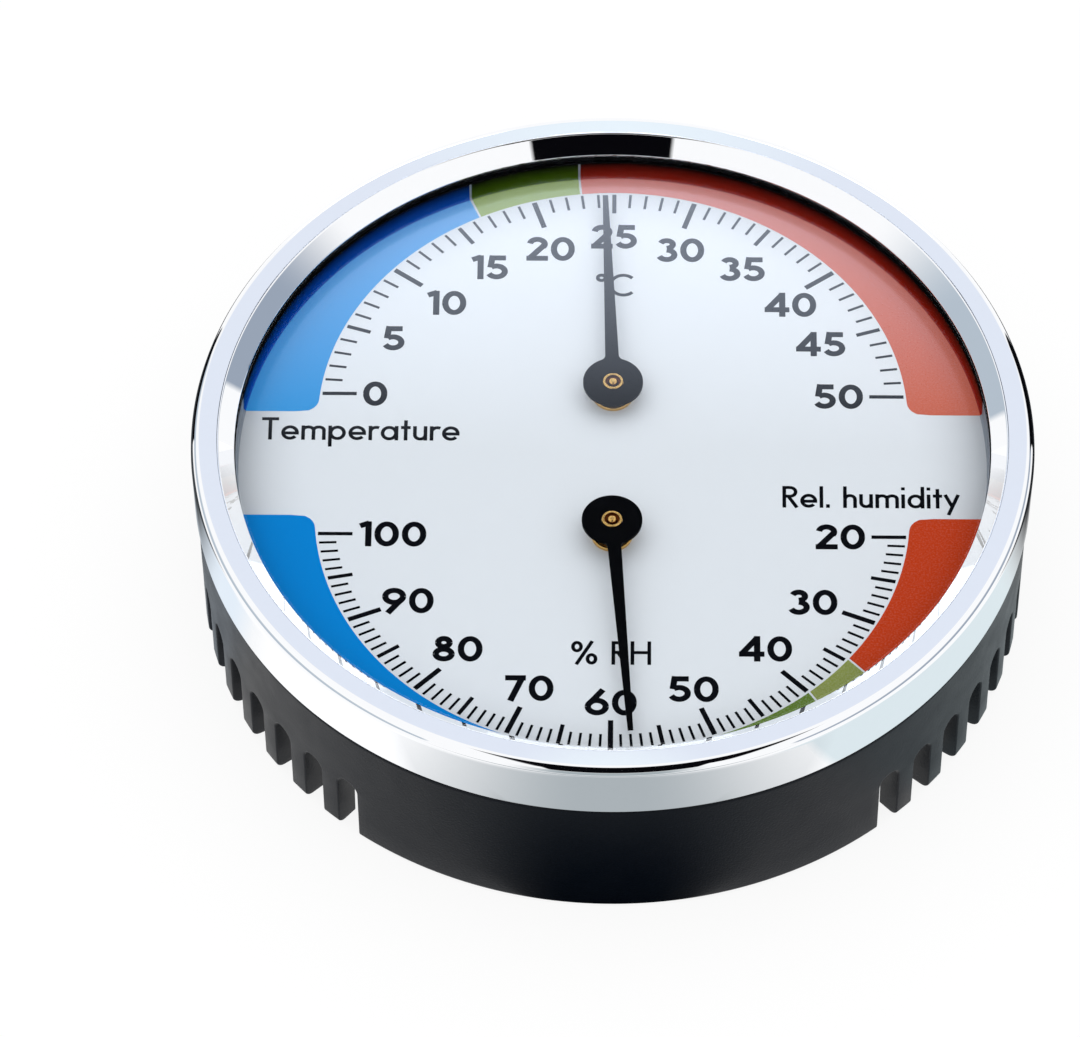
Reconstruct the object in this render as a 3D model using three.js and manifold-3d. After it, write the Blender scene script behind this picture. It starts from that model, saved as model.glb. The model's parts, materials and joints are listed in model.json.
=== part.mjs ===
// Round dial thermo-hygrometer: a bimetal thermometer over a coil hygrometer, behind one lens.
// Millimetres. +Z points out of the dial, +Y up the dial, and the lower rim of the skirt lies on z = 0.

import * as THREE from 'three';
import { mergeVertices } from 'three/addons/utils/BufferGeometryUtils.js';
import Module from 'manifold-3d';

const wasm = await Module();
wasm.setup();

// Fineness of round pieces
const ringSides = 64;
const turnedSides = 16;
const filletSteps = 3;

// Clearances
const looseFit = 0.3;
const runningFit = 0.08;
const endShake = 0.1;

// Rear housing
const bezelOverhang = 0.5;
const housingTaper = 0.35;
const rimChamfer = 0.6;
const skirtWall = 3.0;
const shoulderHeight = 19.58;
const spigotHeight = 4.5;
const spigotWall = 2.85;
const backLedgeWidth = 2.45;
const backLedgeThickness = 1.6;

// Vent notches in the skirt, one row on each side, counted back from the front notch.
// The housing stands turned a little under its dial.
const notchWidth = 3.0;
const notchHeight = 10.0;
const notchPitchDegrees = 6.47;
const notchesPerSide = 16;
const frontNotchDegrees = 49.7;
const housingTurnDegrees = 1.45;
const notchArchSteps = 6;

// Bezel ring, whose shoulder is the widest circle of the instrument
const bezelRadius = 51.0;
const bezelDraft = 0.2;
const bezelWall = 1.25;
const bezelFootGap = 0.3;
const lipSetback = 0.05;
const lipLand = 0.85;
const bevelRise = 1.95;
const bezelShoulderWidth = 1.3;
const bezelCrownFall = 0.3;
const bezelShoulderFall = 1.0;
const beadHeight = 1.5;
const beadProjection = 0.5;
const beadHalfWidth = 0.7;

// Lens, a shallow clear cap with a flange
const lensThickness = 0.95;
const lensFlange = 0.6;
const lensClearance = 0.23;
const lensApertureGap = 0.1;
const lensWall = 0.35;

// Dial pan
const dialSheet = 0.6;
const panDepth = 2.8;
const panFillet = 0.4;

// Movements, one above and one below the dial's centre
const pivotOffset = 10.86;
const arborRadius = 0.6;
const bushFlangeRadius = 2.5;
const bushFlangeHeight = 0.5;
const bushNoseRadius = 1.75;
const bushNoseHeight = 1.1;
const nutAcrossCorners = 6.4;
const nutThickness = 1.2;
const bridgeSheet = 0.8;
const bridgeDepth = 9.5;
const bridgeWidth = 9;
const bridgeLegReach = 12;
const bridgeFreeReach = 10.6;
const bridgeBend = 1.2;
const bearingRadius = 1.6;
const bearingFlangeRadius = 2.4;
const bearingFlangeHeight = 0.6;
const colletRadius = 1.7;
const postRadius = 0.6;
const movementClearance = 1.5;

// Spirals
const coilTurns = 5;
const coilStepsPerTurn = 16;
const coilHeight = 4;
const coilLift = 1.2;
const coilGap = 0.75;
const bimetalStrip = 0.4;
const humidityStrip = 0.5;

// Regulator of the hygrometer
const regulatorRadius = 2.3;
const regulatorFlangeRadius = 3.4;
const regulatorFlangeHeight = 0.5;
const regulatorRecess = 0.3;
const regulatorSlotWidth = 0.9;
const regulatorSlotDepth = 1.0;
const regulatorArmWidth = 2.4;
const clipThickness = 0.6;
const clipRadius = 3.5;
const clipGrooveDepth = 0.35;

// Pointers
const pointerSheet = 0.4;
const pointerTipMargin = 3.99;
const hubRadius = 3.65;
const pointerBushRadius = 1.22;
const pointerBushLip = 0.12;
const arborTip = 0.1;
const bladeRootWidth = 1.6;
const bladeTipWidth = 0.65;
const creaseRadius = 6.6;
const thermometerHubHeight = 2.7;
const hygrometerHubHeight = 3.2;
const tipHeight = 1.8;

// Scales and the readings shown
const thermometerRange = 50;
const hygrometerLow = 20;
const hygrometerHigh = 100;
const scaleSweep = 180;
const temperatureShown = 24.4;
const humidityShown = 58;

// Back plate and its screws
const backPlateThickness = 1.6;
const screwInset = 5.3;
const backScrewAngles = [30, 150, 270];
const bossRadius = 3.4;
const bossHeight = 8.9;
const bossRibWidth = 2;
const screwShankRadius = 1.15;
const screwShankLength = 8.4;
const screwHeadRadius = 2.6;
const screwHeadHeight = 1.6;
const screwHeadCrown = 0.5;
const keyholeHeadRadius = 4.5;
const keyholeSlotWidth = 4.4;
const keyholeCentre = 25;
const keyholeRise = 8;
const ventWidth = 2;
const ventLength = 16;
const ventPitch = 4.6;
const ventsPerSide = 4;
const ventFirstReach = 8;

// Radii that follow from the ring, wall by wall
const bezelBore = bezelRadius - bezelWall;
const spigotRadius = bezelBore - looseFit;
const housingBore = spigotRadius - spigotWall;
const flangeRadius = spigotRadius - looseFit / 2;
const panRadius = housingBore - looseFit - dialSheet;
const apertureRadius = panRadius + lipSetback;
const lensBossRadius = apertureRadius - lensApertureGap;
const shoulderRadius = bezelRadius - bezelOverhang;
const rimRadius = shoulderRadius - housingTaper;
const skirtBore = rimRadius - skirtWall;
const backPlateRadius = skirtBore - looseFit;
const backScrewCircle = skirtBore - screwInset;
const bushBore = arborRadius + runningFit;
const pointerLength = panRadius - panFillet - pivotOffset - pointerTipMargin;

// Levels that follow from the shoulder, piece by piece
const panSeat = shoulderHeight + spigotHeight;
const panTop = panSeat + dialSheet;
const dialFace = panTop - panDepth;
const dialBack = dialFace - dialSheet;
const lipUnderside = panTop + lensFlange;
const bevelFoot = lipUnderside + lipLand;
const bezelTop = bevelFoot + bevelRise;
const bezelFoot = shoulderHeight + bezelFootGap;
const highestTip = dialFace + hygrometerHubHeight + pointerBushLip + arborTip;
const lensTop = highestTip + lensClearance + lensThickness;
const bridgeFloor = dialBack - bridgeDepth;
const bridgeShelf = bridgeFloor + bridgeSheet;
const backLedgeHeight = bridgeFloor - movementClearance;
const backPlateRear = backLedgeHeight - backPlateThickness;
const coilFloor = bridgeShelf + coilLift;
const coilTop = coilFloor + coilHeight;
const nutFloor = dialBack - bridgeSheet - nutThickness;

// Turn an indexed or loose geometry into a closed solid whose faces point out.
function solidOf(geometry) {
  geometry.deleteAttribute('normal');
  geometry.deleteAttribute('uv');
  const merged = mergeVertices(geometry, 1e-5);
  const place = merged.getAttribute('position');
  const corners = merged.getIndex().array;
  const kept = [];
  let volume = 0;
  const [a, b, c] = [new THREE.Vector3(), new THREE.Vector3(), new THREE.Vector3()];
  for (let i = 0; i < corners.length; i += 3) {
    const triangle = [corners[i], corners[i + 1], corners[i + 2]];
    if (new Set(triangle).size < 3) continue;
    a.fromBufferAttribute(place, triangle[0]);
    b.fromBufferAttribute(place, triangle[1]);
    c.fromBufferAttribute(place, triangle[2]);
    volume += a.dot(b.cross(c));
    kept.push(...triangle);
  }
  if (volume < 0) kept.reverse();
  const vertProperties = new Float32Array(place.array);
  const triVerts = new Uint32Array(kept);
  return new wasm.Manifold(new wasm.Mesh({ numProp: 3, vertProperties, triVerts }));
}

// Bring a solid back as a geometry.
function geometryOf(solid) {
  const mesh = solid.getMesh();
  const geometry = new THREE.BufferGeometry();
  geometry.setAttribute('position', new THREE.BufferAttribute(new Float32Array(mesh.vertProperties), 3));
  geometry.setIndex(new THREE.BufferAttribute(new Uint32Array(mesh.triVerts), 1));
  geometry.computeVertexNormals();
  return geometry;
}

// Revolve a closed outline of [radius, height] points about Z.
function revolve(outline, sides = turnedSides) {
  const points = [...outline, outline[0]].map(([radius, height]) => new THREE.Vector2(radius, height));
  return solidOf(new THREE.LatheGeometry(points, sides).rotateX(Math.PI / 2));
}

// A plain round bar about a vertical line.
function bar(radius, bottom, top, x = 0, y = 0, sides = turnedSides) {
  const geometry = new THREE.CylinderGeometry(radius, radius, top - bottom, sides).rotateX(Math.PI / 2);
  return solidOf(geometry.translate(x, y, (bottom + top) / 2));
}

// A plain block between two corners.
function block(low, high) {
  const size = high.map((value, axis) => value - low[axis]);
  const middle = high.map((value, axis) => (value + low[axis]) / 2);
  return solidOf(new THREE.BoxGeometry(...size).translate(...middle));
}

// Raise a flat shape from one level to another.
function raise(shape, bottom, top, curveSegments = filletSteps) {
  const depth = top - bottom;
  const geometry = new THREE.ExtrudeGeometry(shape, { depth, bevelEnabled: false, curveSegments });
  return solidOf(geometry.translate(0, 0, bottom));
}

// Points of a round corner in an outline, from one angle to another in degrees.
function corner(centreRadius, centreHeight, radius, from, to) {
  return Array.from({ length: filletSteps + 1 }, (_, step) => {
    const angle = THREE.MathUtils.degToRad(from + ((to - from) * step) / filletSteps);
    return [centreRadius + radius * Math.cos(angle), centreHeight + radius * Math.sin(angle)];
  });
}

// Turn a solid about Z, in degrees.
function turned(solid, degrees) {
  return solid.rotate([0, 0, degrees]);
}

const finishes = {
  housing: { color: 0x2b2f36, roughness: 0.62, metalness: 0 },
  chrome: { color: 0xdfe2e8, roughness: 0.08, metalness: 1 },
  clear: { color: 0xf4f8fa, roughness: 0.03, metalness: 0, transparent: true, opacity: 0.18 },
  dial: { color: 0xe3e8ee, roughness: 0.35, metalness: 0 },
  pointer: { color: 0x121317, roughness: 0.4, metalness: 0 },
  brass: { color: 0xd79a45, roughness: 0.25, metalness: 1 },
  steel: { color: 0x9a9da1, roughness: 0.35, metalness: 1 },
  paper: { color: 0xb8a583, roughness: 0.8, metalness: 0 },
};

// Give a solid its name and finish.
function piece(name, solid, finish) {
  const mesh = new THREE.Mesh(geometryOf(solid), new THREE.MeshStandardMaterial(finishes[finish]));
  mesh.name = name;
  return mesh;
}

// Housing: tapered body, spigot with a snap groove, ledge for the back plate, bosses and vent notches.
function rearHousing() {
  const grooveMiddle = bezelFoot + beadHeight;
  const grooveHalf = beadHalfWidth + looseFit;
  const grooveRadius = bezelBore - beadProjection - looseFit;
  const body = revolve([
    [skirtBore, 0],
    [rimRadius - rimChamfer, 0],
    [rimRadius, rimChamfer],
    [shoulderRadius, shoulderHeight],
    [spigotRadius, shoulderHeight],
    [spigotRadius, grooveMiddle - grooveHalf],
    [grooveRadius, grooveMiddle - grooveHalf / 2],
    [grooveRadius, grooveMiddle + grooveHalf / 2],
    [spigotRadius, grooveMiddle + grooveHalf],
    [spigotRadius, panSeat],
    [housingBore, panSeat],
    [housingBore, backLedgeHeight + backLedgeThickness],
    [housingBore - backLedgeWidth, backLedgeHeight + backLedgeThickness],
    [housingBore - backLedgeWidth, backLedgeHeight],
    [skirtBore, backLedgeHeight],
  ], ringSides);

  const bossTop = backLedgeHeight + bossHeight;
  const pilotTop = backPlateRear + screwShankLength + looseFit;
  const wallMiddle = (housingBore + spigotRadius) / 2;
  const ribLow = [backScrewCircle, -bossRibWidth / 2, backLedgeHeight];
  const rib = block(ribLow, [wallMiddle, bossRibWidth / 2, bossTop]);
  const boss = bar(bossRadius, backLedgeHeight, bossTop, backScrewCircle, 0).add(rib);
  const pilotRadius = screwShankRadius + looseFit;
  const pilot = bar(pilotRadius, backLedgeHeight - looseFit, pilotTop, backScrewCircle, 0);
  const bosses = backScrewAngles.map((angle) => turned(boss.subtract(pilot), angle));

  const half = notchWidth / 2;
  const notch = new THREE.Shape();
  notch.moveTo(-half, -rimChamfer);
  notch.lineTo(half, -rimChamfer);
  notch.lineTo(half, notchHeight - half);
  notch.absarc(0, notchHeight - half, half, 0, Math.PI, false);
  notch.closePath();
  const upright = raise(notch, skirtBore - skirtWall / 2, shoulderRadius + looseFit, notchArchSteps);
  const radial = upright.rotate([90, 0, 0]).rotate([0, 0, 90]);
  const right = Array.from({ length: notchesPerSide }, (_, i) => i * notchPitchDegrees - frontNotchDegrees);
  const bothSides = [...right, ...right.map((angle) => 180 - angle)];
  const cuts = bothSides.map((angle) => turned(radial, angle + housingTurnDegrees));
  const notches = wasm.Manifold.union(cuts);

  const solid = bosses.reduce((whole, next) => whole.add(next), body).subtract(notches);
  return piece('rear_housing', solid, 'housing');
}

// Ring: drafted wall, rounded shoulder, crown, conical inner face, lip over the lens and a snap bead.
function bezelRing() {
  const crownRadius = bezelRadius - bezelShoulderWidth;
  const crownHeight = bezelTop - bezelCrownFall;
  const beadMiddle = bezelFoot + beadHeight;
  const solid = revolve([
    [apertureRadius, lipUnderside],
    [apertureRadius, bevelFoot],
    [apertureRadius + bevelRise, bezelTop],
    [crownRadius, crownHeight],
    [(crownRadius + 2 * bezelRadius) / 3, crownHeight - bezelShoulderFall / 3],
    [bezelRadius, crownHeight - bezelShoulderFall],
    [bezelRadius - bezelDraft, bezelFoot],
    [bezelBore, bezelFoot],
    [bezelBore, beadMiddle - beadHalfWidth],
    [bezelBore - beadProjection, beadMiddle],
    [bezelBore, beadMiddle + beadHalfWidth],
    [bezelBore, lipUnderside],
  ], ringSides);
  return piece('bezel_ring', solid, 'chrome');
}

// Lens: flange under the ring's lip, short wall, raised window.
function lens() {
  const windowRadius = lensBossRadius - lensWall;
  const solid = revolve([
    [0, lensTop - lensThickness],
    [windowRadius, lensTop - lensThickness],
    [windowRadius, panTop],
    [flangeRadius, panTop],
    [flangeRadius, lipUnderside],
    [lensBossRadius, lipUnderside],
    [lensBossRadius, lensTop],
    [0, lensTop],
  ], ringSides);
  return piece('lens', solid, 'clear');
}

// Dial: drawn pan with a flat floor, a filleted rim and a flange, bored for the two bushes.
function dialPlate() {
  const flatRadius = panRadius - panFillet;
  const filletHeight = dialFace + panFillet;
  const pan = revolve([
    [0, dialBack],
    ...corner(flatRadius, filletHeight, panFillet + dialSheet, -90, 0),
    [panRadius + dialSheet, panSeat],
    [flangeRadius, panSeat],
    [flangeRadius, panTop],
    [panRadius, panTop],
    ...corner(flatRadius, filletHeight, panFillet, 0, -90),
    [0, dialFace],
  ], ringSides);
  const holeRadius = bushNoseRadius + runningFit;
  const hole = bar(holeRadius, dialBack - looseFit, dialFace + looseFit);
  const upper = hole.translate([0, pivotOffset, 0]);
  const lower = hole.translate([0, -pivotOffset, 0]);
  return piece('dial_plate', pan.subtract(upper).subtract(lower), 'dial');
}

// Back plate: disc with screw holes, a keyhole to hang on, vent slots and the regulator's access hole.
function backPlate() {
  const below = backPlateRear - looseFit;
  const above = backLedgeHeight + looseFit;
  const slotHalf = keyholeSlotWidth / 2;
  const slotTop = keyholeCentre + keyholeRise;
  const ventReach = ventLength / 2 - ventWidth / 2;
  const round = Math.PI;

  const keySlot = new THREE.Shape();
  keySlot.moveTo(-slotHalf, keyholeCentre);
  keySlot.lineTo(slotHalf, keyholeCentre);
  keySlot.absarc(0, slotTop, slotHalf, 0, round, false);
  keySlot.closePath();

  const vent = new THREE.Shape();
  vent.absarc(0, ventReach, ventWidth / 2, 0, round, false);
  vent.absarc(0, -ventReach, ventWidth / 2, round, 2 * round, false);
  vent.closePath();

  const cuts = [
    bar(keyholeHeadRadius, below, above, 0, keyholeCentre),
    raise(keySlot, below, above, notchArchSteps),
    bar(regulatorRadius + looseFit, below, above, 0, -pivotOffset),
  ];
  for (const angle of backScrewAngles) {
    cuts.push(turned(bar(screwShankRadius + looseFit, below, above, backScrewCircle, 0), angle));
  }
  for (let i = 0; i < ventsPerSide; i += 1) {
    const reach = ventFirstReach + i * ventPitch;
    for (const x of [reach, -reach]) {
      cuts.push(raise(vent, below, above, filletSteps).translate([x, -pivotOffset, 0]));
    }
  }
  const disc = bar(backPlateRadius, backPlateRear, backLedgeHeight, 0, 0, ringSides);
  return piece('back_plate', disc.subtract(wasm.Manifold.union(cuts)), 'housing');
}

// One screw of the back plate, with a crowned head.
function backScrew(index) {
  const headFloor = backPlateRear - screwHeadHeight;
  const solid = revolve([
    [0, headFloor],
    [screwHeadRadius - screwHeadCrown, headFloor],
    [screwHeadRadius, headFloor + screwHeadCrown],
    [screwHeadRadius, backPlateRear],
    [screwShankRadius, backPlateRear],
    [screwShankRadius, backPlateRear + screwShankLength - screwShankRadius],
    [0, backPlateRear + screwShankLength],
  ]);
  const angle = THREE.MathUtils.degToRad(backScrewAngles[index]);
  const mesh = piece(`back_screw_${index + 1}`, solid, 'steel');
  mesh.position.set(backScrewCircle * Math.cos(angle), backScrewCircle * Math.sin(angle), 0);
  return mesh;
}

// Brass bush that stands on the dial and passes through the dial, the bracket and the nut.
function dialBush(name) {
  const solid = revolve([
    [bushBore, nutFloor - looseFit],
    [bushNoseRadius, nutFloor - looseFit],
    [bushNoseRadius, dialFace],
    [bushFlangeRadius, dialFace],
    [bushFlangeRadius, dialFace + bushFlangeHeight],
    [bushNoseRadius, dialFace + bushFlangeHeight],
    [bushNoseRadius, dialFace + bushNoseHeight],
    [bushBore, dialFace + bushNoseHeight],
  ]);
  return piece(name, solid, 'brass');
}

// Hexagon nut on the bush, under the bracket.
function bushNut(name) {
  const hexagon = bar(nutAcrossCorners / 2, nutFloor, nutFloor + nutThickness, 0, 0, 6);
  const hole = bar(bushNoseRadius + runningFit, nutFloor - looseFit, nutFloor + nutThickness + looseFit);
  return piece(name, hexagon.subtract(hole), 'brass');
}

// Bracket bent from one strip: a plate under the dial, a leg, and a shelf for the rear bearing.
function bridge(name, shelfHoleRadius) {
  const outer = bridgeBend + bridgeSheet;
  const bendCentre = -bridgeLegReach + bridgeSheet + bridgeBend;
  const underPlate = dialBack - bridgeSheet;
  const quarter = Math.PI / 2;
  const strip = new THREE.Shape();
  strip.moveTo(bridgeFreeReach, dialBack);
  strip.absarc(bendCentre, dialBack - outer, outer, quarter, 2 * quarter, false);
  strip.absarc(bendCentre, bridgeFloor + outer, outer, 2 * quarter, 3 * quarter, false);
  strip.lineTo(bridgeFreeReach, bridgeFloor);
  strip.lineTo(bridgeFreeReach, bridgeShelf);
  strip.absarc(bendCentre, bridgeShelf + bridgeBend, bridgeBend, 3 * quarter, 2 * quarter, true);
  strip.absarc(bendCentre, underPlate - bridgeBend, bridgeBend, 2 * quarter, quarter, true);
  strip.lineTo(bridgeFreeReach, underPlate);
  strip.closePath();
  const bent = raise(strip, -bridgeWidth / 2, bridgeWidth / 2, filletSteps).rotate([90, 0, 0]);
  const upper = bar(bushNoseRadius + runningFit, underPlate - looseFit, dialBack + looseFit);
  const lower = bar(shelfHoleRadius, bridgeFloor - looseFit, bridgeShelf + looseFit);
  return piece(name, bent.subtract(upper).subtract(lower), 'steel');
}

// Radius of the pin circle that a spiral of this strip ends on.
function pinCircle(strip) {
  const outerEnd = colletRadius + looseFit + strip / 2 + coilTurns * (strip + coilGap);
  return outerEnd + strip / 2 + looseFit / 2 + postRadius;
}

// Flat spiral strip from just off the collet to just inside the pin, with an even gap between turns.
function spiral(name, strip, finish) {
  const inner = colletRadius + looseFit + strip / 2;
  const pitch = strip + coilGap;
  const steps = coilTurns * coilStepsPerTurn;
  const edge = (side) => Array.from({ length: steps + 1 }, (_, step) => {
    const turn = step / coilStepsPerTurn;
    const radius = inner + pitch * turn + side * (strip / 2);
    const angle = 2 * Math.PI * (turn - coilTurns);
    return new THREE.Vector2(radius * Math.cos(angle), radius * Math.sin(angle));
  });
  const outline = new THREE.Shape([...edge(1), ...edge(-1).reverse()]);
  return piece(name, raise(outline, coilFloor, coilTop), finish);
}

// Fixed pin beside the outer end of the bimetal spiral, standing on the bracket's shelf.
function anchorPost() {
  const post = bar(postRadius, bridgeShelf, coilTop, pinCircle(bimetalStrip), 0);
  return piece('thermometer_anchor_post', post, 'steel');
}

// Brass cup that carries the foot of the thermometer arbor.
function rearBearing() {
  const floor = bridgeFloor - bearingFlangeHeight;
  const solid = revolve([
    [0, floor],
    [bearingFlangeRadius, floor],
    [bearingFlangeRadius, bridgeFloor],
    [bearingRadius, bridgeFloor],
    [bearingRadius, bridgeShelf + bearingFlangeHeight],
    [bushBore, bridgeShelf + bearingFlangeHeight],
    [bushBore, bridgeFloor],
    [0, bridgeFloor],
  ]);
  return piece('thermometer_rear_bearing', solid, 'brass');
}

// Regulator: slotted hub turned from behind, flange on the shelf, arm out to the pin, socket for the arbor.
function regulator() {
  const floor = backPlateRear + regulatorRecess;
  const flangeFloor = bridgeShelf + endShake;
  const flangeTop = flangeFloor + regulatorFlangeHeight;
  const grooveTop = bridgeFloor - endShake;
  const grooveFloor = grooveTop - clipThickness;
  const grooveRadius = regulatorRadius - clipGrooveDepth;
  const hub = revolve([
    [0, floor],
    [regulatorRadius, floor],
    [regulatorRadius, grooveFloor],
    [grooveRadius, grooveFloor],
    [grooveRadius, grooveTop],
    [regulatorRadius, grooveTop],
    [regulatorRadius, flangeFloor],
    [regulatorFlangeRadius, flangeFloor],
    [regulatorFlangeRadius, flangeTop],
    [0, flangeTop],
  ]);
  const armHalf = regulatorArmWidth / 2;
  const armEnd = pinCircle(humidityStrip);
  const arm = block([0, -armHalf, flangeFloor], [armEnd, armHalf, flangeTop]);
  const armTip = bar(armHalf, flangeFloor, flangeTop, armEnd, 0);
  const socket = bar(bushBore, bridgeFloor, flangeTop + looseFit);
  const slotHalf = regulatorSlotWidth / 2;
  const slotEnd = regulatorRadius + looseFit;
  const slotLow = [-slotEnd, -slotHalf, floor - looseFit];
  const slot = block(slotLow, [slotEnd, slotHalf, floor + regulatorSlotDepth]);
  const solid = hub.add(arm).add(armTip).subtract(socket).subtract(slot);
  return piece('hygrometer_regulator', solid, 'brass');
}

// Pin on the regulator's arm beside the outer end of the humidity spiral.
function regulatorPin() {
  const floor = bridgeShelf + endShake + regulatorFlangeHeight;
  return piece('regulator_pin', bar(postRadius, floor, coilTop, pinCircle(humidityStrip), 0), 'steel');
}

// Snap ring in the regulator's groove, open on one side.
function regulatorClip() {
  const top = bridgeFloor - endShake;
  const floor = top - clipThickness;
  const grip = regulatorRadius - clipGrooveDepth + runningFit;
  const ring = bar(clipRadius, floor, top).subtract(bar(grip, floor - looseFit, top + looseFit));
  const mouth = block([0, -grip, floor - looseFit], [clipRadius + looseFit, grip, top + looseFit]);
  return piece('regulator_clip', ring.subtract(mouth), 'steel');
}

// Arbor from the rear bearing to just above the pointer.
function arbor(name, hubHeight) {
  const foot = bridgeFloor + endShake;
  const tip = dialFace + hubHeight + pointerBushLip + arborTip;
  return piece(name, bar(arborRadius, foot, tip), 'brass');
}

// Collar on the arbor that takes the inner end of the spiral.
function collet(name) {
  const solid = revolve([
    [arborRadius + runningFit, coilFloor],
    [colletRadius, coilFloor],
    [colletRadius, coilTop],
    [arborRadius + runningFit, coilTop],
  ]);
  return piece(name, solid, 'brass');
}

// Pointer cut from sheet: round hub, tapered blade, creased so that its tip hangs near the dial.
function pointer(name, hubHeight) {
  const top = dialFace + hubHeight;
  const floor = top - pointerSheet;
  const span = pointerLength - creaseRadius;
  const taper = (bladeRootWidth - bladeTipWidth) / pointerLength;
  const widthAt = (reach) => bladeRootWidth - taper * reach;
  const blade = (from, to) => new THREE.Shape([
    new THREE.Vector2(-widthAt(from) / 2, from),
    new THREE.Vector2(widthAt(from) / 2, from),
    new THREE.Vector2(widthAt(to) / 2, to),
    new THREE.Vector2(-widthAt(to) / 2, to),
  ]);
  const hub = bar(hubRadius, floor, top);
  const neck = raise(blade(0, creaseRadius), floor, top);
  const droop = THREE.MathUtils.radToDeg(Math.asin((hubHeight - tipHeight) / span));
  const hanging = raise(blade(creaseRadius - pointerSheet, pointerLength), floor, top)
    .translate([0, -creaseRadius, -top])
    .rotate([-droop, 0, 0])
    .translate([0, creaseRadius, top]);
  const hole = bar(pointerBushRadius + runningFit, floor - looseFit, top + looseFit);
  return piece(name, hub.add(neck).add(hanging).subtract(hole), 'pointer');
}

// Brass collar between the pointer's hub and the arbor.
function pointerBush(name, hubHeight) {
  const floor = dialFace + bushNoseHeight + looseFit;
  const top = dialFace + hubHeight + pointerBushLip;
  const solid = revolve([
    [arborRadius + runningFit, floor],
    [pointerBushRadius, floor],
    [pointerBushRadius, top],
    [arborRadius + runningFit, top],
  ]);
  return piece(name, solid, 'brass');
}

// Directions of the pointers, in degrees from +X.
const thermometerDirection = scaleSweep - (scaleSweep * temperatureShown) / thermometerRange;
const hygrometerShare = (hygrometerHigh - humidityShown) / (hygrometerHigh - hygrometerLow);
const hygrometerDirection = 180 + scaleSweep * hygrometerShare;

// Pieces that turn with one pointer. The pointer itself is drawn up the dial.
function movingGroup(name, hubHeight, direction) {
  const needle = pointer(`${name}_pointer`, hubHeight);
  needle.rotation.z = THREE.MathUtils.degToRad(direction - 90);
  const group = new THREE.Group();
  group.add(
    needle,
    pointerBush(`${name}_pointer_bush`, hubHeight),
    arbor(`${name}_arbor`, hubHeight),
    collet(`${name}_collet`),
  );
  return group;
}

// Thermometer movement, about its own arbor.
function thermometer() {
  const group = new THREE.Group();
  group.position.y = pivotOffset;
  group.add(
    movingGroup('thermometer', thermometerHubHeight, thermometerDirection),
    dialBush('thermometer_dial_bush'),
    bushNut('thermometer_bush_nut'),
    bridge('thermometer_bridge', bearingRadius + runningFit),
    rearBearing(),
    spiral('bimetal_coil', bimetalStrip, 'steel'),
    anchorPost(),
  );
  return group;
}

// Hygrometer movement, with its bracket turned half round.
function hygrometer() {
  const halfTurn = new THREE.Group();
  halfTurn.rotation.z = Math.PI;
  halfTurn.add(
    dialBush('hygrometer_dial_bush'),
    bushNut('hygrometer_bush_nut'),
    bridge('hygrometer_bridge', regulatorRadius + runningFit),
    regulator(),
    regulatorPin(),
    regulatorClip(),
    spiral('humidity_coil', humidityStrip, 'paper'),
  );
  const group = new THREE.Group();
  group.position.y = -pivotOffset;
  group.add(movingGroup('hygrometer', hygrometerHubHeight, hygrometerDirection), halfTurn);
  return group;
}

const instrument = new THREE.Group();
instrument.add(rearHousing(), bezelRing(), lens(), dialPlate(), backPlate());
backScrewAngles.forEach((_, index) => instrument.add(backScrew(index)));
instrument.add(thermometer(), hygrometer());

export default instrument;
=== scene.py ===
import json

import bmesh
import bpy
import numpy as np
from mathutils import Matrix, Vector
from mathutils.geometry import delaunay_2d_cdt


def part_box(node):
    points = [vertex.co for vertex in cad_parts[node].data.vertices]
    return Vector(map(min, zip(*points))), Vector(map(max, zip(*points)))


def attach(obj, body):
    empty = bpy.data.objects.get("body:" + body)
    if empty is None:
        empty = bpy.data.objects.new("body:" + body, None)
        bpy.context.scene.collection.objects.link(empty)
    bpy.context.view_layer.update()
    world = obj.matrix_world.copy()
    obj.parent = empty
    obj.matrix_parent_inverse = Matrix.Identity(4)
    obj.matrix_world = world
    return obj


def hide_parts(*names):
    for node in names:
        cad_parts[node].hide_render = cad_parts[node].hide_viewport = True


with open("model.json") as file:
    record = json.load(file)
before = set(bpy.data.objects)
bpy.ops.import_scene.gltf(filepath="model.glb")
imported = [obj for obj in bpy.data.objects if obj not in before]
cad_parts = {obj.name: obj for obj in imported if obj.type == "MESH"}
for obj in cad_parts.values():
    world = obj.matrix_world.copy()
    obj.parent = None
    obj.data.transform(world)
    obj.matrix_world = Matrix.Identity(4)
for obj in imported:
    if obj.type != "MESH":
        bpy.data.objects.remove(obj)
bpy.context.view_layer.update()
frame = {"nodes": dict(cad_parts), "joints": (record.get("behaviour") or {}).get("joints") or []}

mm = 0.001  # pieces are worked out in millimetres and put into the mesh in metres
weld = 2e-7  # metres, points closer than this are one
onAxis = 1e-6  # millimetres, profiles that close on their axis end this far from it
slack = 0.01  # millimetres to spare where faces are told apart by their place
ringColumns = 240


# Lowest and highest corner of a CAD node, in millimetres.
def nodeBox(name):
    low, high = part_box(name)
    return np.array(low) / mm, np.array(high) / mm


# Place of a joint in the frame, in millimetres.
def jointPlace(name):
    return next(np.array(j["pos_m"]) / mm for j in frame["joints"] if j["name"] == name)


pivots = {name: jointPlace(name + "_turn") for name in ("thermometer", "hygrometer")}
pivotOffset, dialFace = pivots["thermometer"][1:]
ringLow, ringHigh = nodeBox("bezel_ring")
housingHigh = nodeBox("rear_housing")[1]
plateLow, plateHigh = nodeBox("back_plate")
lensLow, lensHigh = nodeBox("lens")
dialLow, dialHigh = nodeBox("dial_plate")
print("stage: frame loaded, dial face at", round(float(dialFace), 2), "mm")


# Surfaces

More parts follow.
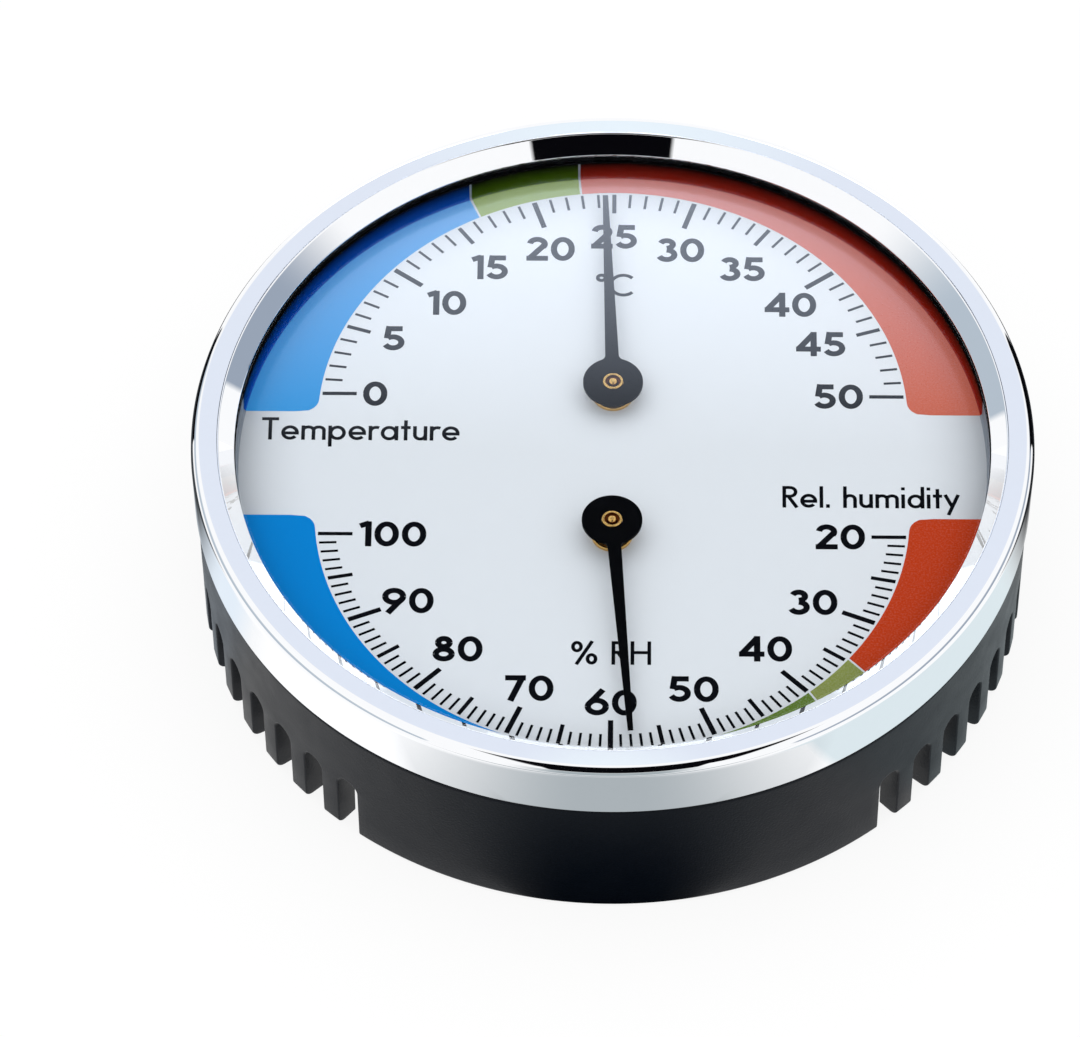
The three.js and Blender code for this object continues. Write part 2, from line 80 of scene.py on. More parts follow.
# Quads between neighbours of a rows by columns grid, the last joined to the first where it is closed.
def gridQuads(rows, columns, closeRows=False, closeColumns=False):
    row = np.arange(rows if closeRows else rows - 1)
    column = np.arange(columns if closeColumns else columns - 1)
    row, column = np.meshgrid(row, column, indexing="ij")
    nextRow, nextColumn = (row + 1) % rows * columns, (column + 1) % columns
    row = row * columns
    corners = [row + column, row + nextColumn, nextRow + nextColumn, nextRow + column]
    return np.stack(corners, -1).reshape(-1, 4)


# A grid of points as a body: its points in one list, and the quads between neighbours.
def gridBody(points, closeRows=False, closeColumns=False):
    return points.reshape(-1, 3), gridQuads(*points.shape[:2], closeRows, closeColumns)


# Loops set side by side as a body: neighbours are joined, and the first and the last loop are filled.
def cappedBody(loops, closeColumns):
    count, size = loops.shape[:2]
    caps = np.arange(size)[None, ::-1], (count - 1) * size + np.arange(size)[None, :]
    return *gridBody(loops, False, closeColumns), *caps


# Arc on an ellipse: centre plus half axes times cosine and sine, from one angle to another in degrees.
def arc(x, y, halfWidth, halfHeight, start, end, steps=16):
    angle = np.radians(np.linspace(start, end, steps + 1))
    return np.stack([x + halfWidth * np.cos(angle), y + halfHeight * np.sin(angle)], 1)


# Full circle: an arc once round without its repeated last point.
def circle(x, y, radius, steps):
    return arc(x, y, radius, radius, 0, 360, steps)[:-1]


# Place at a distance from the axis, in a direction in degrees.
def polar(distance, degrees):
    return distance * np.cos(np.radians(degrees)), distance * np.sin(np.radians(degrees))


# Closed outline whose corners, given as (x, y, radius), become arcs that touch both of their sides.
# Each straight gets a point near both of its ends, so that its shading stays flat.
def roundedOutline(corners, steps=5, near=0.06):
    corners = np.array(corners, float)
    place, radius = corners[:, :2], corners[:, 2:]
    before, after = np.roll(place, 1, 0) - place, np.roll(place, -1, 0) - place
    before /= np.linalg.norm(before, axis=1, keepdims=True)
    after /= np.linalg.norm(after, axis=1, keepdims=True)
    half = np.arccos(np.clip((before * after).sum(1, keepdims=True), -1, 1)) / 2
    middle = before + after
    middle /= np.linalg.norm(middle, axis=1, keepdims=True)
    centre = place + middle * radius / np.sin(half)
    first = place + before * radius / np.tan(half) - centre
    last = place + after * radius / np.tan(half) - centre
    share = np.linspace(0, 1, steps + 1)[None, :, None]
    sweep = (np.pi - 2 * half)[:, None]
    arcs = np.sin((1 - share) * sweep) * first[:, None] + np.sin(share * sweep) * last[:, None]
    arcs = centre[:, None] + arcs / np.sin(sweep)
    straight = np.roll(arcs[:, 0], -1, 0) - arcs[:, -1]
    length = np.linalg.norm(straight, axis=1, keepdims=True)
    inset = straight * np.minimum(near / np.maximum(length, 1e-9), 0.25)
    supports = np.stack([arcs[:, -1] + inset, np.roll(arcs[:, 0], -1, 0) - inset], 1)
    points = np.concatenate([arcs, supports], 1).reshape(-1, 2)
    return points[np.linalg.norm(points - np.roll(points, 1, 0), axis=1) > 1e-6]


# Points at angles in radians, radii and heights: x = r cos t, y = r sin t, z = h.
def onRing(angle, radius, height):
    angle, radius, height = np.broadcast_arrays(angle, radius, height)
    return np.stack([radius * np.cos(angle), radius * np.sin(angle), height], -1)


# Outline of (radius, height), closed or open, carried round the vertical line through a place.
def turned(outline, place=(0, 0), columns=ringColumns, closed=True):
    angle = np.linspace(0, 2 * np.pi, columns, endpoint=False)[:, None]
    return gridBody(onRing(angle, *outline.T) + (*place[:2], 0), True, closed)


# Outline whose inside lies to its left: turned over where twice its area, a sum of cross products,
# is negative.
def leftHanded(outline):
    after = np.roll(outline, -1, 0)
    twice = (outline[:, 0] * after[:, 1] - outline[:, 1] * after[:, 0]).sum()
    return outline if twice > 0 else outline[::-1]


# Which points lie in an odd number of outlines: those with an odd count of outline edges to their right.
def oddlyInside(points, chains):
    x, y = points[:, :1], points[:, 1:]
    starts, ends = np.concatenate(chains), np.concatenate([np.roll(c, -1, 0) for c in chains])
    passes = (starts[:, 1] > y) != (ends[:, 1] > y)
    climb = np.where(starts[:, 1] == ends[:, 1], 1, ends[:, 1] - starts[:, 1])
    meet = starts[:, 0] + (y - starts[:, 1]) / climb * (ends[:, 0] - starts[:, 0])
    return (passes & (meet > x)).sum(1) % 2 == 1


# Flat triangles inside outlines. Joined outlines give their union, otherwise inner outlines are holes.
def flatTriangles(outlines, joined, extraLines=()):
    chains = [leftHanded(o) for o in outlines]
    start = np.cumsum([0] + [len(c) for c in chains])
    loops = [list(range(s, s + len(c))) for s, c in zip(start, chains)]
    edges = [] if joined else [(a, b) for loop in loops for a, b in zip(loop, loop[1:] + loop[:1])]
    points = [Vector(p) for p in np.concatenate(chains)]
    for line in extraLines:
        edges.append((len(points), len(points) + 1))
        points += [Vector(p) for p in line]
    found = delaunay_2d_cdt(points, edges, loops if joined else [], 1 if joined else 2, 1e-6)
    triangles = [face for face, source in zip(found[2], found[5]) if source or not joined]
    flat, triangles = np.array(found[0], float).reshape(-1, 2), np.array(triangles, int).reshape(-1, 3)
    return flat, triangles if joined else triangles[oddlyInside(flat[triangles].mean(1), chains)]


# Flat points at one height.
def atHeight(flat, height):
    return np.column_stack([flat, np.full(len(flat), height)])


# Flat triangles given a thickness: a top, a bottom facing away, and a wall on every edge that has one face.
def thickened(flat, triangles, bottom, top):
    count = len(flat)
    edges = np.concatenate([triangles[:, [0, 1]], triangles[:, [1, 2]], triangles[:, [2, 0]]])
    _, place, uses = np.unique(np.sort(edges, 1), axis=0, return_index=True, return_counts=True)
    start, end = edges[place[uses == 1]].T
    walls = np.stack([start, end, end + count, start + count], 1)
    points = np.concatenate([atHeight(flat, bottom), atHeight(flat, top)])
    return points, triangles[:, ::-1], triangles + count, walls


# Points turned about the vertical by an angle in degrees, then moved to a place.
def placed(points, place, degrees):
    c, s = polar(1, degrees)
    return points @ np.array([[c, s, 0], [-s, c, 0], [0, 0, 1]]) + (*place[:2], 0)


# A new object in the scene.
def addObject(name, data):
    made = bpy.data.objects.new(name, data)
    bpy.context.scene.collection.objects.link(made)
    return made


# One object from bodies given as (points, faces, ...): welded, faces outwards, smooth but for sharp edges.
def makePiece(name, bodies, material, body, nodes=(), sharp=32):
    start = np.cumsum([0] + [len(b[0]) for b in bodies])
    points = np.concatenate([b[0] for b in bodies]) * mm
    faces = [row for s, b in zip(start, bodies) for block in b[1:] for row in (block + s).tolist()]
    mesh = bpy.data.meshes.new(name)
    mesh.from_pydata(points.tolist(), [], faces)
    work = bmesh.new()
    work.from_mesh(mesh)
    bmesh.ops.remove_doubles(work, verts=work.verts, dist=weld)
    bmesh.ops.dissolve_degenerate(work, edges=work.edges, dist=weld)
    bmesh.ops.recalc_face_normals(work, faces=work.faces)
    work.to_mesh(mesh)
    work.free()
    mesh.shade_smooth()
    mesh.set_sharp_from_angle(angle=np.radians(sharp))
    mesh.materials.append(material)
    piece = addObject(name, mesh)
    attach(piece, body)
    if nodes:
        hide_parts(*nodes)
    return piece


# More materials on a piece: a rule makes material numbers from the middles of its faces, in millimetres.
def dressFaces(piece, materials, rule):
    mesh = piece.data
    for material in materials:
        mesh.materials.append(material)
    middle = np.empty(len(mesh.polygons) * 3, np.float32)
    mesh.polygons.foreach_get("center", middle)
    number = rule(*(middle.reshape(-1, 3) / mm).T)
    mesh.polygons.foreach_set("material_index", number.astype(np.int32))


# Materials

# Link or set inputs: a node stands for its first output, and what is no socket is a plain value.
def feed(tree, inputs, values):
    for key, value in values.items():
        source = value.outputs[0] if isinstance(value, bpy.types.Node) else value
        if isinstance(source, bpy.types.NodeSocket):
            tree.links.new(source, inputs[key])
        else:
            inputs[key].default_value = source


# A node with its settings, and with its inputs linked or set.
def addNode(tree, kind, sockets=None, **settings):
    node = tree.nodes.new("ShaderNode" + kind)
    for key, value in settings.items():
        setattr(node, key, value)
    feed(tree, node.inputs, sockets or {})
    return node


# One step of arithmetic on numbers or sockets.
def calc(tree, operation, *values):
    return addNode(tree, "Math", dict(enumerate(values)), operation=operation)


# A colour times a factor.
def scaled(tree, colour, factor):
    return addNode(tree, "VectorMath", {0: colour, "Scale": factor}, operation="SCALE")


# Object coordinates split into three.
def objectPlace(tree):
    return addNode(tree, "SeparateXYZ", {0: addNode(tree, "TexCoord").outputs["Object"]}).outputs


# Two shaders mixed by a share, as what a material or the world shows.
def showMix(tree, output, share, first, second):
    mix = addNode(tree, "MixShader", {0: share, 1: first, 2: second})
    tree.links.new(mix.outputs[0], tree.nodes[output].inputs["Surface"])


# A new material with its nodes and the inputs of its surface shader.
def newMaterial(name):
    material = bpy.data.materials.new(name)
    material.use_nodes = True
    tree = material.node_tree
    return material, tree, tree.nodes["Principled BSDF"].inputs


# A new material whose surface shader is taken out.
def bareMaterial(name):
    material, tree, _ = newMaterial(name)
    tree.nodes.remove(tree.nodes["Principled BSDF"])
    return material, tree


# An empty node group with named inputs and outputs, given as (name, kind, value) and (name, kind).
def newGroup(name, inputs, outputs):
    group = bpy.data.node_groups.new(name, "ShaderNodeTree")
    for label, kind, value in inputs:
        socket = group.interface.new_socket(label, in_out="INPUT", socket_type="NodeSocket" + kind)
        socket.default_value = value
    for label, kind in outputs:
        group.interface.new_socket(label, in_out="OUTPUT", socket_type="NodeSocket" + kind)
    return group, group.nodes.new("NodeGroupInput").outputs, group.nodes.new("NodeGroupOutput").inputs


# Grain: tone times one plus contrast times (noise - 1/2); roughness drifts the same way on a coarser noise.
def grainGroup():
    inputs = [
        ("Tone", "Color", (0.5, 0.5, 0.5, 1)), ("Scale", "Float", 1000), ("Contrast", "Float", 0.1),
        ("Roughness", "Float", 0.4), ("Drift", "Float", 0.1),
    ]
    outputs = [("Color", "Color"), ("Roughness", "Float"), ("Height", "Float")]
    group, given, result = newGroup("surfaceGrain", inputs, outputs)
    place = addNode(group, "TexCoord").outputs["Object"]
    coarseScale = calc(group, "MULTIPLY", given["Scale"], 0.08)
    fine = addNode(group, "TexNoise", {"Vector": place, "Scale": given["Scale"], "Detail": 3})
    coarse = addNode(group, "TexNoise", {"Vector": place, "Scale": coarseScale, "Detail": 2})
    fineSwing, coarseSwing = (calc(group, "SUBTRACT", noise, 0.5) for noise in (fine, coarse))
    factor = calc(group, "MULTIPLY_ADD", fineSwing, given["Contrast"], 1)
    shine = calc(group, "MULTIPLY_ADD", coarseSwing, given["Drift"], given["Roughness"])
    feed(group, result, {"Color": scaled(group, given["Tone"], factor), "Roughness": shine, "Height": fine})
    return group


# Speckle: where a fine noise passes a threshold the pale colour shows through the ink by a given share.
def speckleGroup():
    inputs = [
        ("Ink", "Color", (0.1, 0.1, 0.1, 1)), ("Pale", "Color", (0.8, 0.8, 0.8, 1)),
        ("Scale", "Float", 3000), ("Share", "Float", 0.15),
    ]
    group, given, result = newGroup("printSpeckle", inputs, [("Color", "Color"), ("Mask", "Float")])
    place = addNode(group, "TexCoord").outputs["Object"]
    noise = addNode(group, "TexNoise", {"Vector": place, "Scale": given["Scale"], "Detail": 2})
    mask = addNode(group, "MapRange", {"Value": noise, "From Min": 0.42, "From Max": 0.72})
    share = calc(group, "MULTIPLY", mask, given["Share"])
    mix = addNode(group, "MixRGB", {"Fac": share, "Color1": given["Ink"], "Color2": given["Pale"]})
    feed(group, result, {"Color": mix, "Mask": mask})
    return group


grain = grainGroup()
speckle = speckleGroup()


# Linear colour from its 0 to 255 screen values.
def screen(red, green, blue):
    share = np.array([red, green, blue]) / 255
    linear = np.where(share <= 0.04045, share / 12.92, ((share + 0.055) / 1.055) ** 2.4)
    return (*linear.tolist(), 1.0)


# A material whose tone, roughness and bump come from the grain group.
def grainMaterial(name, tone, scale, contrast, roughness, drift, bump, metallic=0.0, shine=0.5):
    material, tree, surface = newMaterial(name)
    values = {"Tone": tone, "Scale": scale, "Contrast": contrast, "Roughness": roughness, "Drift": drift}
    made = addNode(tree, "Group", values, node_tree=grain).outputs
    relief = addNode(tree, "Bump", {"Height": made["Height"], "Strength": 1.0, "Distance": bump * mm})
    feed(tree, surface, {"Base Color": made["Color"], "Roughness": made["Roughness"], "Normal": relief})
    feed(tree, surface, {"Metallic": metallic, "Specular IOR Level": shine})
    return material


# Painted shade on the dial towards its wall: the radii where it starts and is full, and its share.
paintedRimShade = {"from": 36.0, "to": 45.3, "share": 0.32}


# Painted rim shade: the tone times one less a share of the square of the way out.
def shadeRim(material):
    tree = material.node_tree
    place = objectPlace(tree)
    flat = addNode(tree, "CombineXYZ", {0: place["X"], 1: place["Y"]})
    radius = addNode(tree, "VectorMath", {0: flat}, operation="LENGTH").outputs["Value"]
    ends = {"Value": radius, "From Min": paintedRimShade["from"] * mm, "From Max": paintedRimShade["to"] * mm}
    way = addNode(tree, "MapRange", ends)
    light = calc(tree, "MULTIPLY_ADD", calc(tree, "MULTIPLY", way, way), -paintedRimShade["share"], 1.0)
    base = tree.nodes["Principled BSDF"].inputs["Base Color"]
    tree.links.new(scaled(tree, base.links[0].from_socket, light).outputs[0], base)


# Printing: its pale ground, speck size and finish. On the pan's wall, which gets painted shade: the height
# above the dial where the wall starts, the heights where the painted shade starts and is full, and the
# shares of the colour kept there.
printing = {
    "pale": screen(226, 230, 238), "specks": 4200, "bump": (0.4, 0.004), "roughness": 0.42, "shine": 0.02,
    "wallFoot": 0.06, "wallShadeHeights": (0.2, 2.6), "wallShadeShares": (0.75, 0.04),
}


# A printed ink: its colour with the pale ground showing through in fine specks.
# On the pan's wall it carries painted shade: the colour times itself times a share that falls with height.
def inkMaterial(name, ink, share):
    material, tree, surface = newMaterial(name)
    values = {"Ink": ink, "Pale": printing["pale"], "Scale": printing["specks"], "Share": share}
    made = addNode(tree, "Group", values, node_tree=speckle).outputs
    strength, depth = printing["bump"]
    relief = addNode(tree, "Bump", {"Height": made["Mask"], "Strength": strength, "Distance": depth * mm})
    height = objectPlace(tree)["Z"]
    low, high = ((dialFace + rise) * mm for rise in printing["wallShadeHeights"])
    bright, dark = printing["wallShadeShares"]
    shadeFade = {"Value": height, "From Min": low, "From Max": high, "To Min": bright, "To Max": dark}
    # Painted shade on the pan's wall: the ink times itself, scaled by a share that falls with height.
    square = addNode(tree, "VectorMath", {0: made["Color"], 1: made["Color"]}, operation="MULTIPLY")
    deep = scaled(tree, square, addNode(tree, "MapRange", shadeFade))
    wall = calc(tree, "GREATER_THAN", height, (dialFace + printing["wallFoot"]) * mm)
    mix = addNode(tree, "MixRGB", {"Fac": wall, "Color1": made["Color"], "Color2": deep})
    feed(tree, surface, {"Base Color": mix, "Normal": relief, "Roughness": printing["roughness"]})
    feed(tree, surface, {"Specular IOR Level": printing["shine"]})
    return material


window = {"tint": (0.985, 0.99, 0.99, 1), "mirror": (1, 1, 1, 1), "roughness": 0.02}


# Clear window: a mirror's share by the angle of sight over a see-through sheet, on its outer faces only.
def windowMaterial(name, index):
    material, tree = bareMaterial(name)
    mirror = addNode(tree, "Fresnel", {"IOR": index})
    outside = calc(tree, "SUBTRACT", 1.0, addNode(tree, "NewGeometry").outputs["Backfacing"])
    clear = addNode(tree, "BsdfTransparent", {"Color": window["tint"]})
    gloss = addNode(tree, "BsdfGlossy", {"Color": window["mirror"], "Roughness": window["roughness"]})
    showMix(tree, "Material Output", calc(tree, "MULTIPLY", mirror, outside), clear, gloss)
    return material


chromePlate = grainMaterial(
    "chromePlate", (0.955, 0.965, 0.985, 1), 900, 0.02, 0.015, 0.01, 0.0002, metallic=1.0
)
housingPlastic = grainMaterial("housingPlastic", screen(7, 13, 22), 3600, 0.7, 0.38, 0.16, 0.03, shine=0.14)
clearWindow = windowMaterial("clearWindow", 1.62)
clearWall = windowMaterial("clearWall", 1.02)
# Black for the lens flange: painted shade of the joint under the ring's lip.
paintedShadeEdge = grainMaterial("paintedShadeEdge", screen(9, 10, 12), 2400, 0.3, 0.5, 0.1, 0.002, shine=0.1)
dialEnamel = grainMaterial("dialEnamel", screen(229, 234, 241), 700, 0.025, 0.5, 0.1, 0.002, shine=0.1)
# Enamel of the pan's wall: the dial's enamel made darker as painted shade, for the little light the wall
# gets.
shadedWallEnamel = grainMaterial("shadedWallEnamel", screen(140, 147, 158), 700, 0.025, 0.5, 0.1, 0.002, shine=0.1)
# Painted shade on the dial's enamel towards its wall.
shadeRim(dialEnamel)
printInk = inkMaterial("printInk", screen(5, 7, 14), 0.004)
coolInk = inkMaterial("coolInk", screen(34, 150, 224), 0.03)
mildInk = inkMaterial("mildInk", screen(134, 160, 14), 0.04)
warmInk = inkMaterial("warmInk", screen(205, 95, 64), 0.06)
blueInk = inkMaterial("blueInk", screen(0, 132, 214), 0.003)
redInk = inkMaterial("redInk", screen(192, 60, 18), 0.04)
oliveInk = inkMaterial("oliveInk", screen(136, 148, 76), 0.1)
greenInk = inkMaterial("greenInk", screen(94, 124, 40), 0.12)
pointerLacquer = grainMaterial(
    "pointerLacquer", screen(5, 6, 9), 1800, 0.2, 0.42, 0.12, 0.0008, shine=0.015
)
turnedBrass = grainMaterial("turnedBrass", (0.82, 0.5, 0.16, 1), 2200, 0.14, 0.24, 0.1, 0.004, metallic=1.0)
# Dark brass for the collar's groove: painted shade in the recess.
shadedGrooveBrass = grainMaterial("shadedGrooveBrass", (0.2, 0.055, 0.012, 1), 2200, 0.2, 0.5, 0.1, 0.004, metallic=1.0)
plainSteel = grainMaterial("plainSteel", (0.55, 0.56, 0.58, 1), 2600, 0.12, 0.32, 0.12, 0.003, metallic=1.0)
coilLaminate = grainMaterial("coilLaminate", (0.5, 0.4, 0.24, 1), 3000, 0.25, 0.7, 0.1, 0.01)
print("stage: materials made")


# Chrome bezel ring

bezel = {
    "draft": 0.2,  # the wall leans in by this much from its top to its foot
    "wall": 1.25,
    "lipDepth": 0.85,
    "lipLand": 0.12,  # upright part of the lip, undercut below
    "lipUndercut": 0.5,
    "bevelRise": 1.95,
    "aperture": 45.75,
    "crownFall": 0.3,
    "shoulderRound": 1.25,
    "bead": (1.5, 0.5, 0.7),  # height above the foot, projection, half width
    "columns": 360,
}


# Ring section with its real edge radii, carried round.
def makeBezel():
    outer, foot, top = ringHigh[0], ringLow[2], ringHigh[2]
    aperture, bore = bezel["aperture"], outer - bezel["wall"]
    bevelFoot = top - bezel["bevelRise"]
    under = bevelFoot - bezel["lipDepth"]
    beadRise, beadOut, beadHalf = bezel["bead"]
    bead = foot + beadRise
    section = roundedOutline([
        (aperture + bezel["lipUndercut"], under, 0.05), (aperture, bevelFoot - bezel["lipLand"], 0.1),
        (aperture, bevelFoot, 0.12), (aperture + bezel["bevelRise"], top, 0.3),
        (outer, top - bezel["crownFall"], bezel["shoulderRound"]), (outer - bezel["draft"], foot, 0.18),
        (bore, foot, 0.12), (bore, bead - beadHalf, 0.1), (bore - beadOut, bead, 0.2),
        (bore, bead + beadHalf, 0.1), (bore, under, 0.1),
    ], 8)
    body = turned(section, columns=bezel["columns"])
    makePiece("bezelRing", [body], chromePlate, "case", ["bezel_ring"])


# Moulded rear housing with its notched skirt

housing = {
    "rimRadius": housingHigh[0] - 0.35,
    "rimRound": 0.8,
    "shoulderRadius": housingHigh[0],
    "shoulderHeight": ringLow[2] - 0.3,
    "shoulderRound": 0.7,
    "spigotRadius": 49.45,
    "bore": 46.6,
    "skirtBore": plateHigh[0] + 0.3,
    "ledgeInner": 44.15,
    "ledge": (plateHigh[2], plateHigh[2] + 1.6),
    "notchWidth": 3.0,
    "notchHeight": 10.0,
    "notchPitch": 6.47,  # degrees
    "notchesPerSide": 16,
    "frontNotch": 49.7,  # degrees from the side to the front notch
    "turn": 1.45,  # degrees by which the housing stands turned under its dial
    "notchEdge": 0.22,  # radius of the notch's moulded edges
    "archSteps": 12,
    "columnStep": 1.4,  # degrees between columns of a tooth, at most
    "boss": (plateHigh[0] - 5.0, 3.4, 1.45, dialLow[2] - 2.1),  # circle, radius, pilot radius, top
    "bossAngles": (30, 150, 270),
    "ribWidth": 2.0,
    "ribSink": 0.4,  # a rib's ends reach this far into boss and wall
}
notchSpring = housing["notchHeight"] - housing["notchWidth"] / 2
archTurn = np.linspace(-np.pi / 2, np.pi / 2, housing["archSteps"] + 1)


# Outside radius of the skirt at a height: a quarter round at the rim, then a taper to the shoulder.
def skirtOutside(height):
    rim, edge = housing["rimRadius"], housing["rimRound"]
    rise = (height - edge) / (housing["shoulderHeight"] - edge)
    taper = rim + np.clip(rise, 0, 1) * (housing["shoulderRadius"] - rim)
    return taper - edge + np.sqrt(edge**2 - np.clip(edge - height, 0, edge) ** 2)


# Heights of the rows of a tooth: even steps round the rim, then the middle and the spring of the notches.
def toothRows():
    rim = housing["rimRound"] * (1 - np.cos(np.linspace(0, np.pi / 2, 6)))
    return np.append(rim, [notchSpring / 2, notchSpring])


# Column angles round the skirt, the lower edge of the wall above the notches, which columns open a notch,
# and the middles of the notches: one row on the right, counted from the front, and its mirror on the left.
def skirtColumns():
    half = housing["notchWidth"] / 2 + housing["notchEdge"]
    notchAngle = half * np.sin(archTurn) / housing["rimRadius"]
    notchLow = notchSpring + half * np.cos(archTurn)
    right = np.arange(housing["notchesPerSide"]) * housing["notchPitch"] - housing["frontNotch"]
    centres = np.sort(np.radians(np.concatenate([right, 180 - right]) + housing["turn"]))
    gaps = np.diff(np.append(centres, centres[0] + 2 * np.pi)) - 2 * notchAngle[-1]
    angles, lows, opens = [], [], []
    for middle, gap in zip(centres, gaps):
        steps = max(2, int(np.ceil(np.degrees(gap) / housing["columnStep"])))
        tooth = np.linspace(0, gap, steps + 1)[1:-1] + notchAngle[-1]
        angles.append(middle + np.concatenate([notchAngle, tooth]))
        lows.append(np.concatenate([notchLow, np.full(steps - 1, notchSpring)]))
        opens.append(np.arange(len(notchLow) + steps - 1) < len(notchLow) - 1)
    return np.concatenate(angles), np.concatenate(lows), np.concatenate(opens), centres


# Rounded wall of one notch: its outline from rim to arch to rim, moved into the skirt
# by a rounded cross profile.
def notchWall(centre):
    half, edge = housing["notchWidth"] / 2, housing["notchEdge"]
    side = toothRows()[:-1]
    straight = np.ones(len(side))
    across = np.concatenate([-straight, np.sin(archTurn), straight])[:, None]
    upward = np.concatenate([0 * straight, np.cos(archTurn), 0 * straight])[:, None]
    base = np.concatenate([side, np.full(len(archTurn), notchSpring), side[::-1]])[:, None]
    quarter = np.linspace(0, np.pi / 2, 5)
    rising, falling = edge * (1 - np.cos(quarter)), edge * (1 - np.sin(quarter))
    offset, depth = np.concatenate([falling, rising]), np.concatenate([rising, falling])
    outerHalf = np.arange(len(offset)) < len(quarter)
    height = base + upward * (half + offset)
    angle = centre + across * (half + offset) / housing["rimRadius"]
    radius = np.where(outerHalf, skirtOutside(height) - depth, housing["skirtBore"] + depth)
    return cappedBody(onRing(angle, radius, height), False)


# Screw boss: a bored bar turned about its own line.
def bossBody(degrees):
    distance, radius, pilot, top = housing["boss"]
    floor = housing["ledge"][0]
    corners = [(pilot, floor, 0.1), (radius, floor, 0.1), (radius, top, 0.3), (pilot, top, 0.1)]
    return turned(roundedOutline(corners, 2), polar(distance, degrees), 40)


# Rib from a boss to the housing wall: a flat strip given its height.
def ribBody(degrees):
    distance, radius, _, top = housing["boss"]
    half, sink = housing["ribWidth"] / 2, housing["ribSink"]
    start, end = distance + radius - sink, housing["bore"] + sink
    outline = np.array([(start, -half), (end, -half), (end, half), (start, half)])
    points, *faces = thickened(*flatTriangles([outline], False), housing["ledge"][0], top)
    return placed(points, (0, 0), degrees), *faces


# Housing: the section above the notches turned whole, the wall down to the notches, the teeth,
# and the notch walls.
def makeHousing():
    angle, low, opens, centres = skirtColumns()
    around = angle[:, None]
    clear = housing["notchHeight"] + 2 * housing["notchEdge"]
    shoulder, seat = housing["shoulderHeight"], housingHigh[2]
    ledgeLow, ledgeTop = housing["ledge"]
    ledge, skirtBore = housing["ledgeInner"], housing["skirtBore"]
    bore, spigot = housing["bore"], housing["spigotRadius"]
    soft = housing["shoulderRound"]
    heights = np.append(np.linspace(clear, shoulder - soft - 0.15, 4), shoulder - soft)
    edge = arc(housing["shoulderRadius"] - soft, shoulder - soft, soft, soft, 0, 90, 6)
    outside = np.concatenate([np.stack([skirtOutside(heights), heights], 1), edge[1:]])
    inside = np.array([
        (spigot, shoulder), (spigot, seat), (bore, seat), (bore, ledgeTop), (ledge, ledgeTop),
        (ledge, ledgeLow), (skirtBore, ledgeLow), (skirtBore, clear),
    ])
    bodies = [gridBody(onRing(around, *np.concatenate([outside, inside]).T), True)]
    rise = low[:, None] + np.linspace(0, 1, 4) * (clear - low)[:, None]
    bodies += [gridBody(onRing(around, radius, rise), True) for radius in (skirtOutside(rise), skirtBore)]
    rows = toothRows()
    toothRadius = np.concatenate([np.full(len(rows), skirtBore), skirtOutside(rows)])
    tooth, quads = gridBody(onRing(around, toothRadius, np.concatenate([rows[::-1], rows])), True)
    bodies.append((tooth, quads.reshape(len(angle), -1, 4)[~opens].reshape(-1, 4)))
    bodies += [notchWall(centre) for centre in centres]
    bodies += [make(degrees) for make in (bossBody, ribBody) for degrees in housing["bossAngles"]]
    makePiece("rearHousing", bodies, housingPlastic, "case", ["rear_housing"], sharp=38)


# Clear lens

lens = {
    "sink": 0.35,
    "thickness": 0.6,
    "bossRadius": 45.65,
    "wall": 0.35,
    "wallReach": 0.15,  # faces this far inside the wall still count as wall
    "flangeThickness": 0.6,
}


# Lens: a shallow cap with a flange under the ring's lip. The flange is black as painted shade of the joint
# under the lip, and the cap's wall hardly mirrors.
def makeLens():
    flange, floor, top = lensHigh[0], lensLow[2], lensHigh[2] - lens["sink"]
    wide, step = lens["bossRadius"], floor + lens["flangeThickness"]
    inner, under = wide - lens["wall"], top - lens["thickness"]
    hair = 1e-4  # keeps two corners from lying on one straight line
    section = roundedOutline([
        (onAxis, under, 0), (inner, under, 0.1), (inner + hair, step, 0), (inner, floor, 0.05),
        (wide, floor + hair, 0), (flange, floor, 0.1), (flange, step, 0.1), (wide, step, 0.1),
        (wide, top, 0.12), (onAxis, top, 0),
    ], 4)
    piece = makePiece("lensCap", [turned(section)], clearWindow, "case", ["lens"])

    def number(x, y, z):
        radius = np.hypot(x, y)
        wall = (radius > inner - lens["wallReach"]) & (z < top - slack)
        return np.where(radius > wide + slack, 2, wall)

    dressFaces(piece, [clearWall, paintedShadeEdge], number)


# Dial pan with its printing

dial = {
    "sheet": 0.6,
    "panRadius": 45.7,
    "fillet": 0.4,
    "lip": 0.3,
    "holeRadius": 1.83,
    "floorSteps": (120, 40),  # along a half floor's round edge and its straight one
    "spokeShares": (0, 0.01, 0.3, 0.7, 0.99, 1),
    "inkTop": 0.03,  # printing stands this far above the enamel
    "inkRoot": -0.02,
    "arcCentre": 7.235,  # tick ends lie on arcs about points this far above and below the centre
    "arcRadius": 35.63,
    "bandGap": 0.3,  # white between tick ends and colour bands
    "bandEnd": 8.04,
    "bandCorner": 2.0,
    "bandStep": 0.75,  # degrees
    "divider": (0.25, 40.0),  # width of the white between two bands, and where it is measured
}
panFlat = dial["panRadius"] - dial["fillet"]


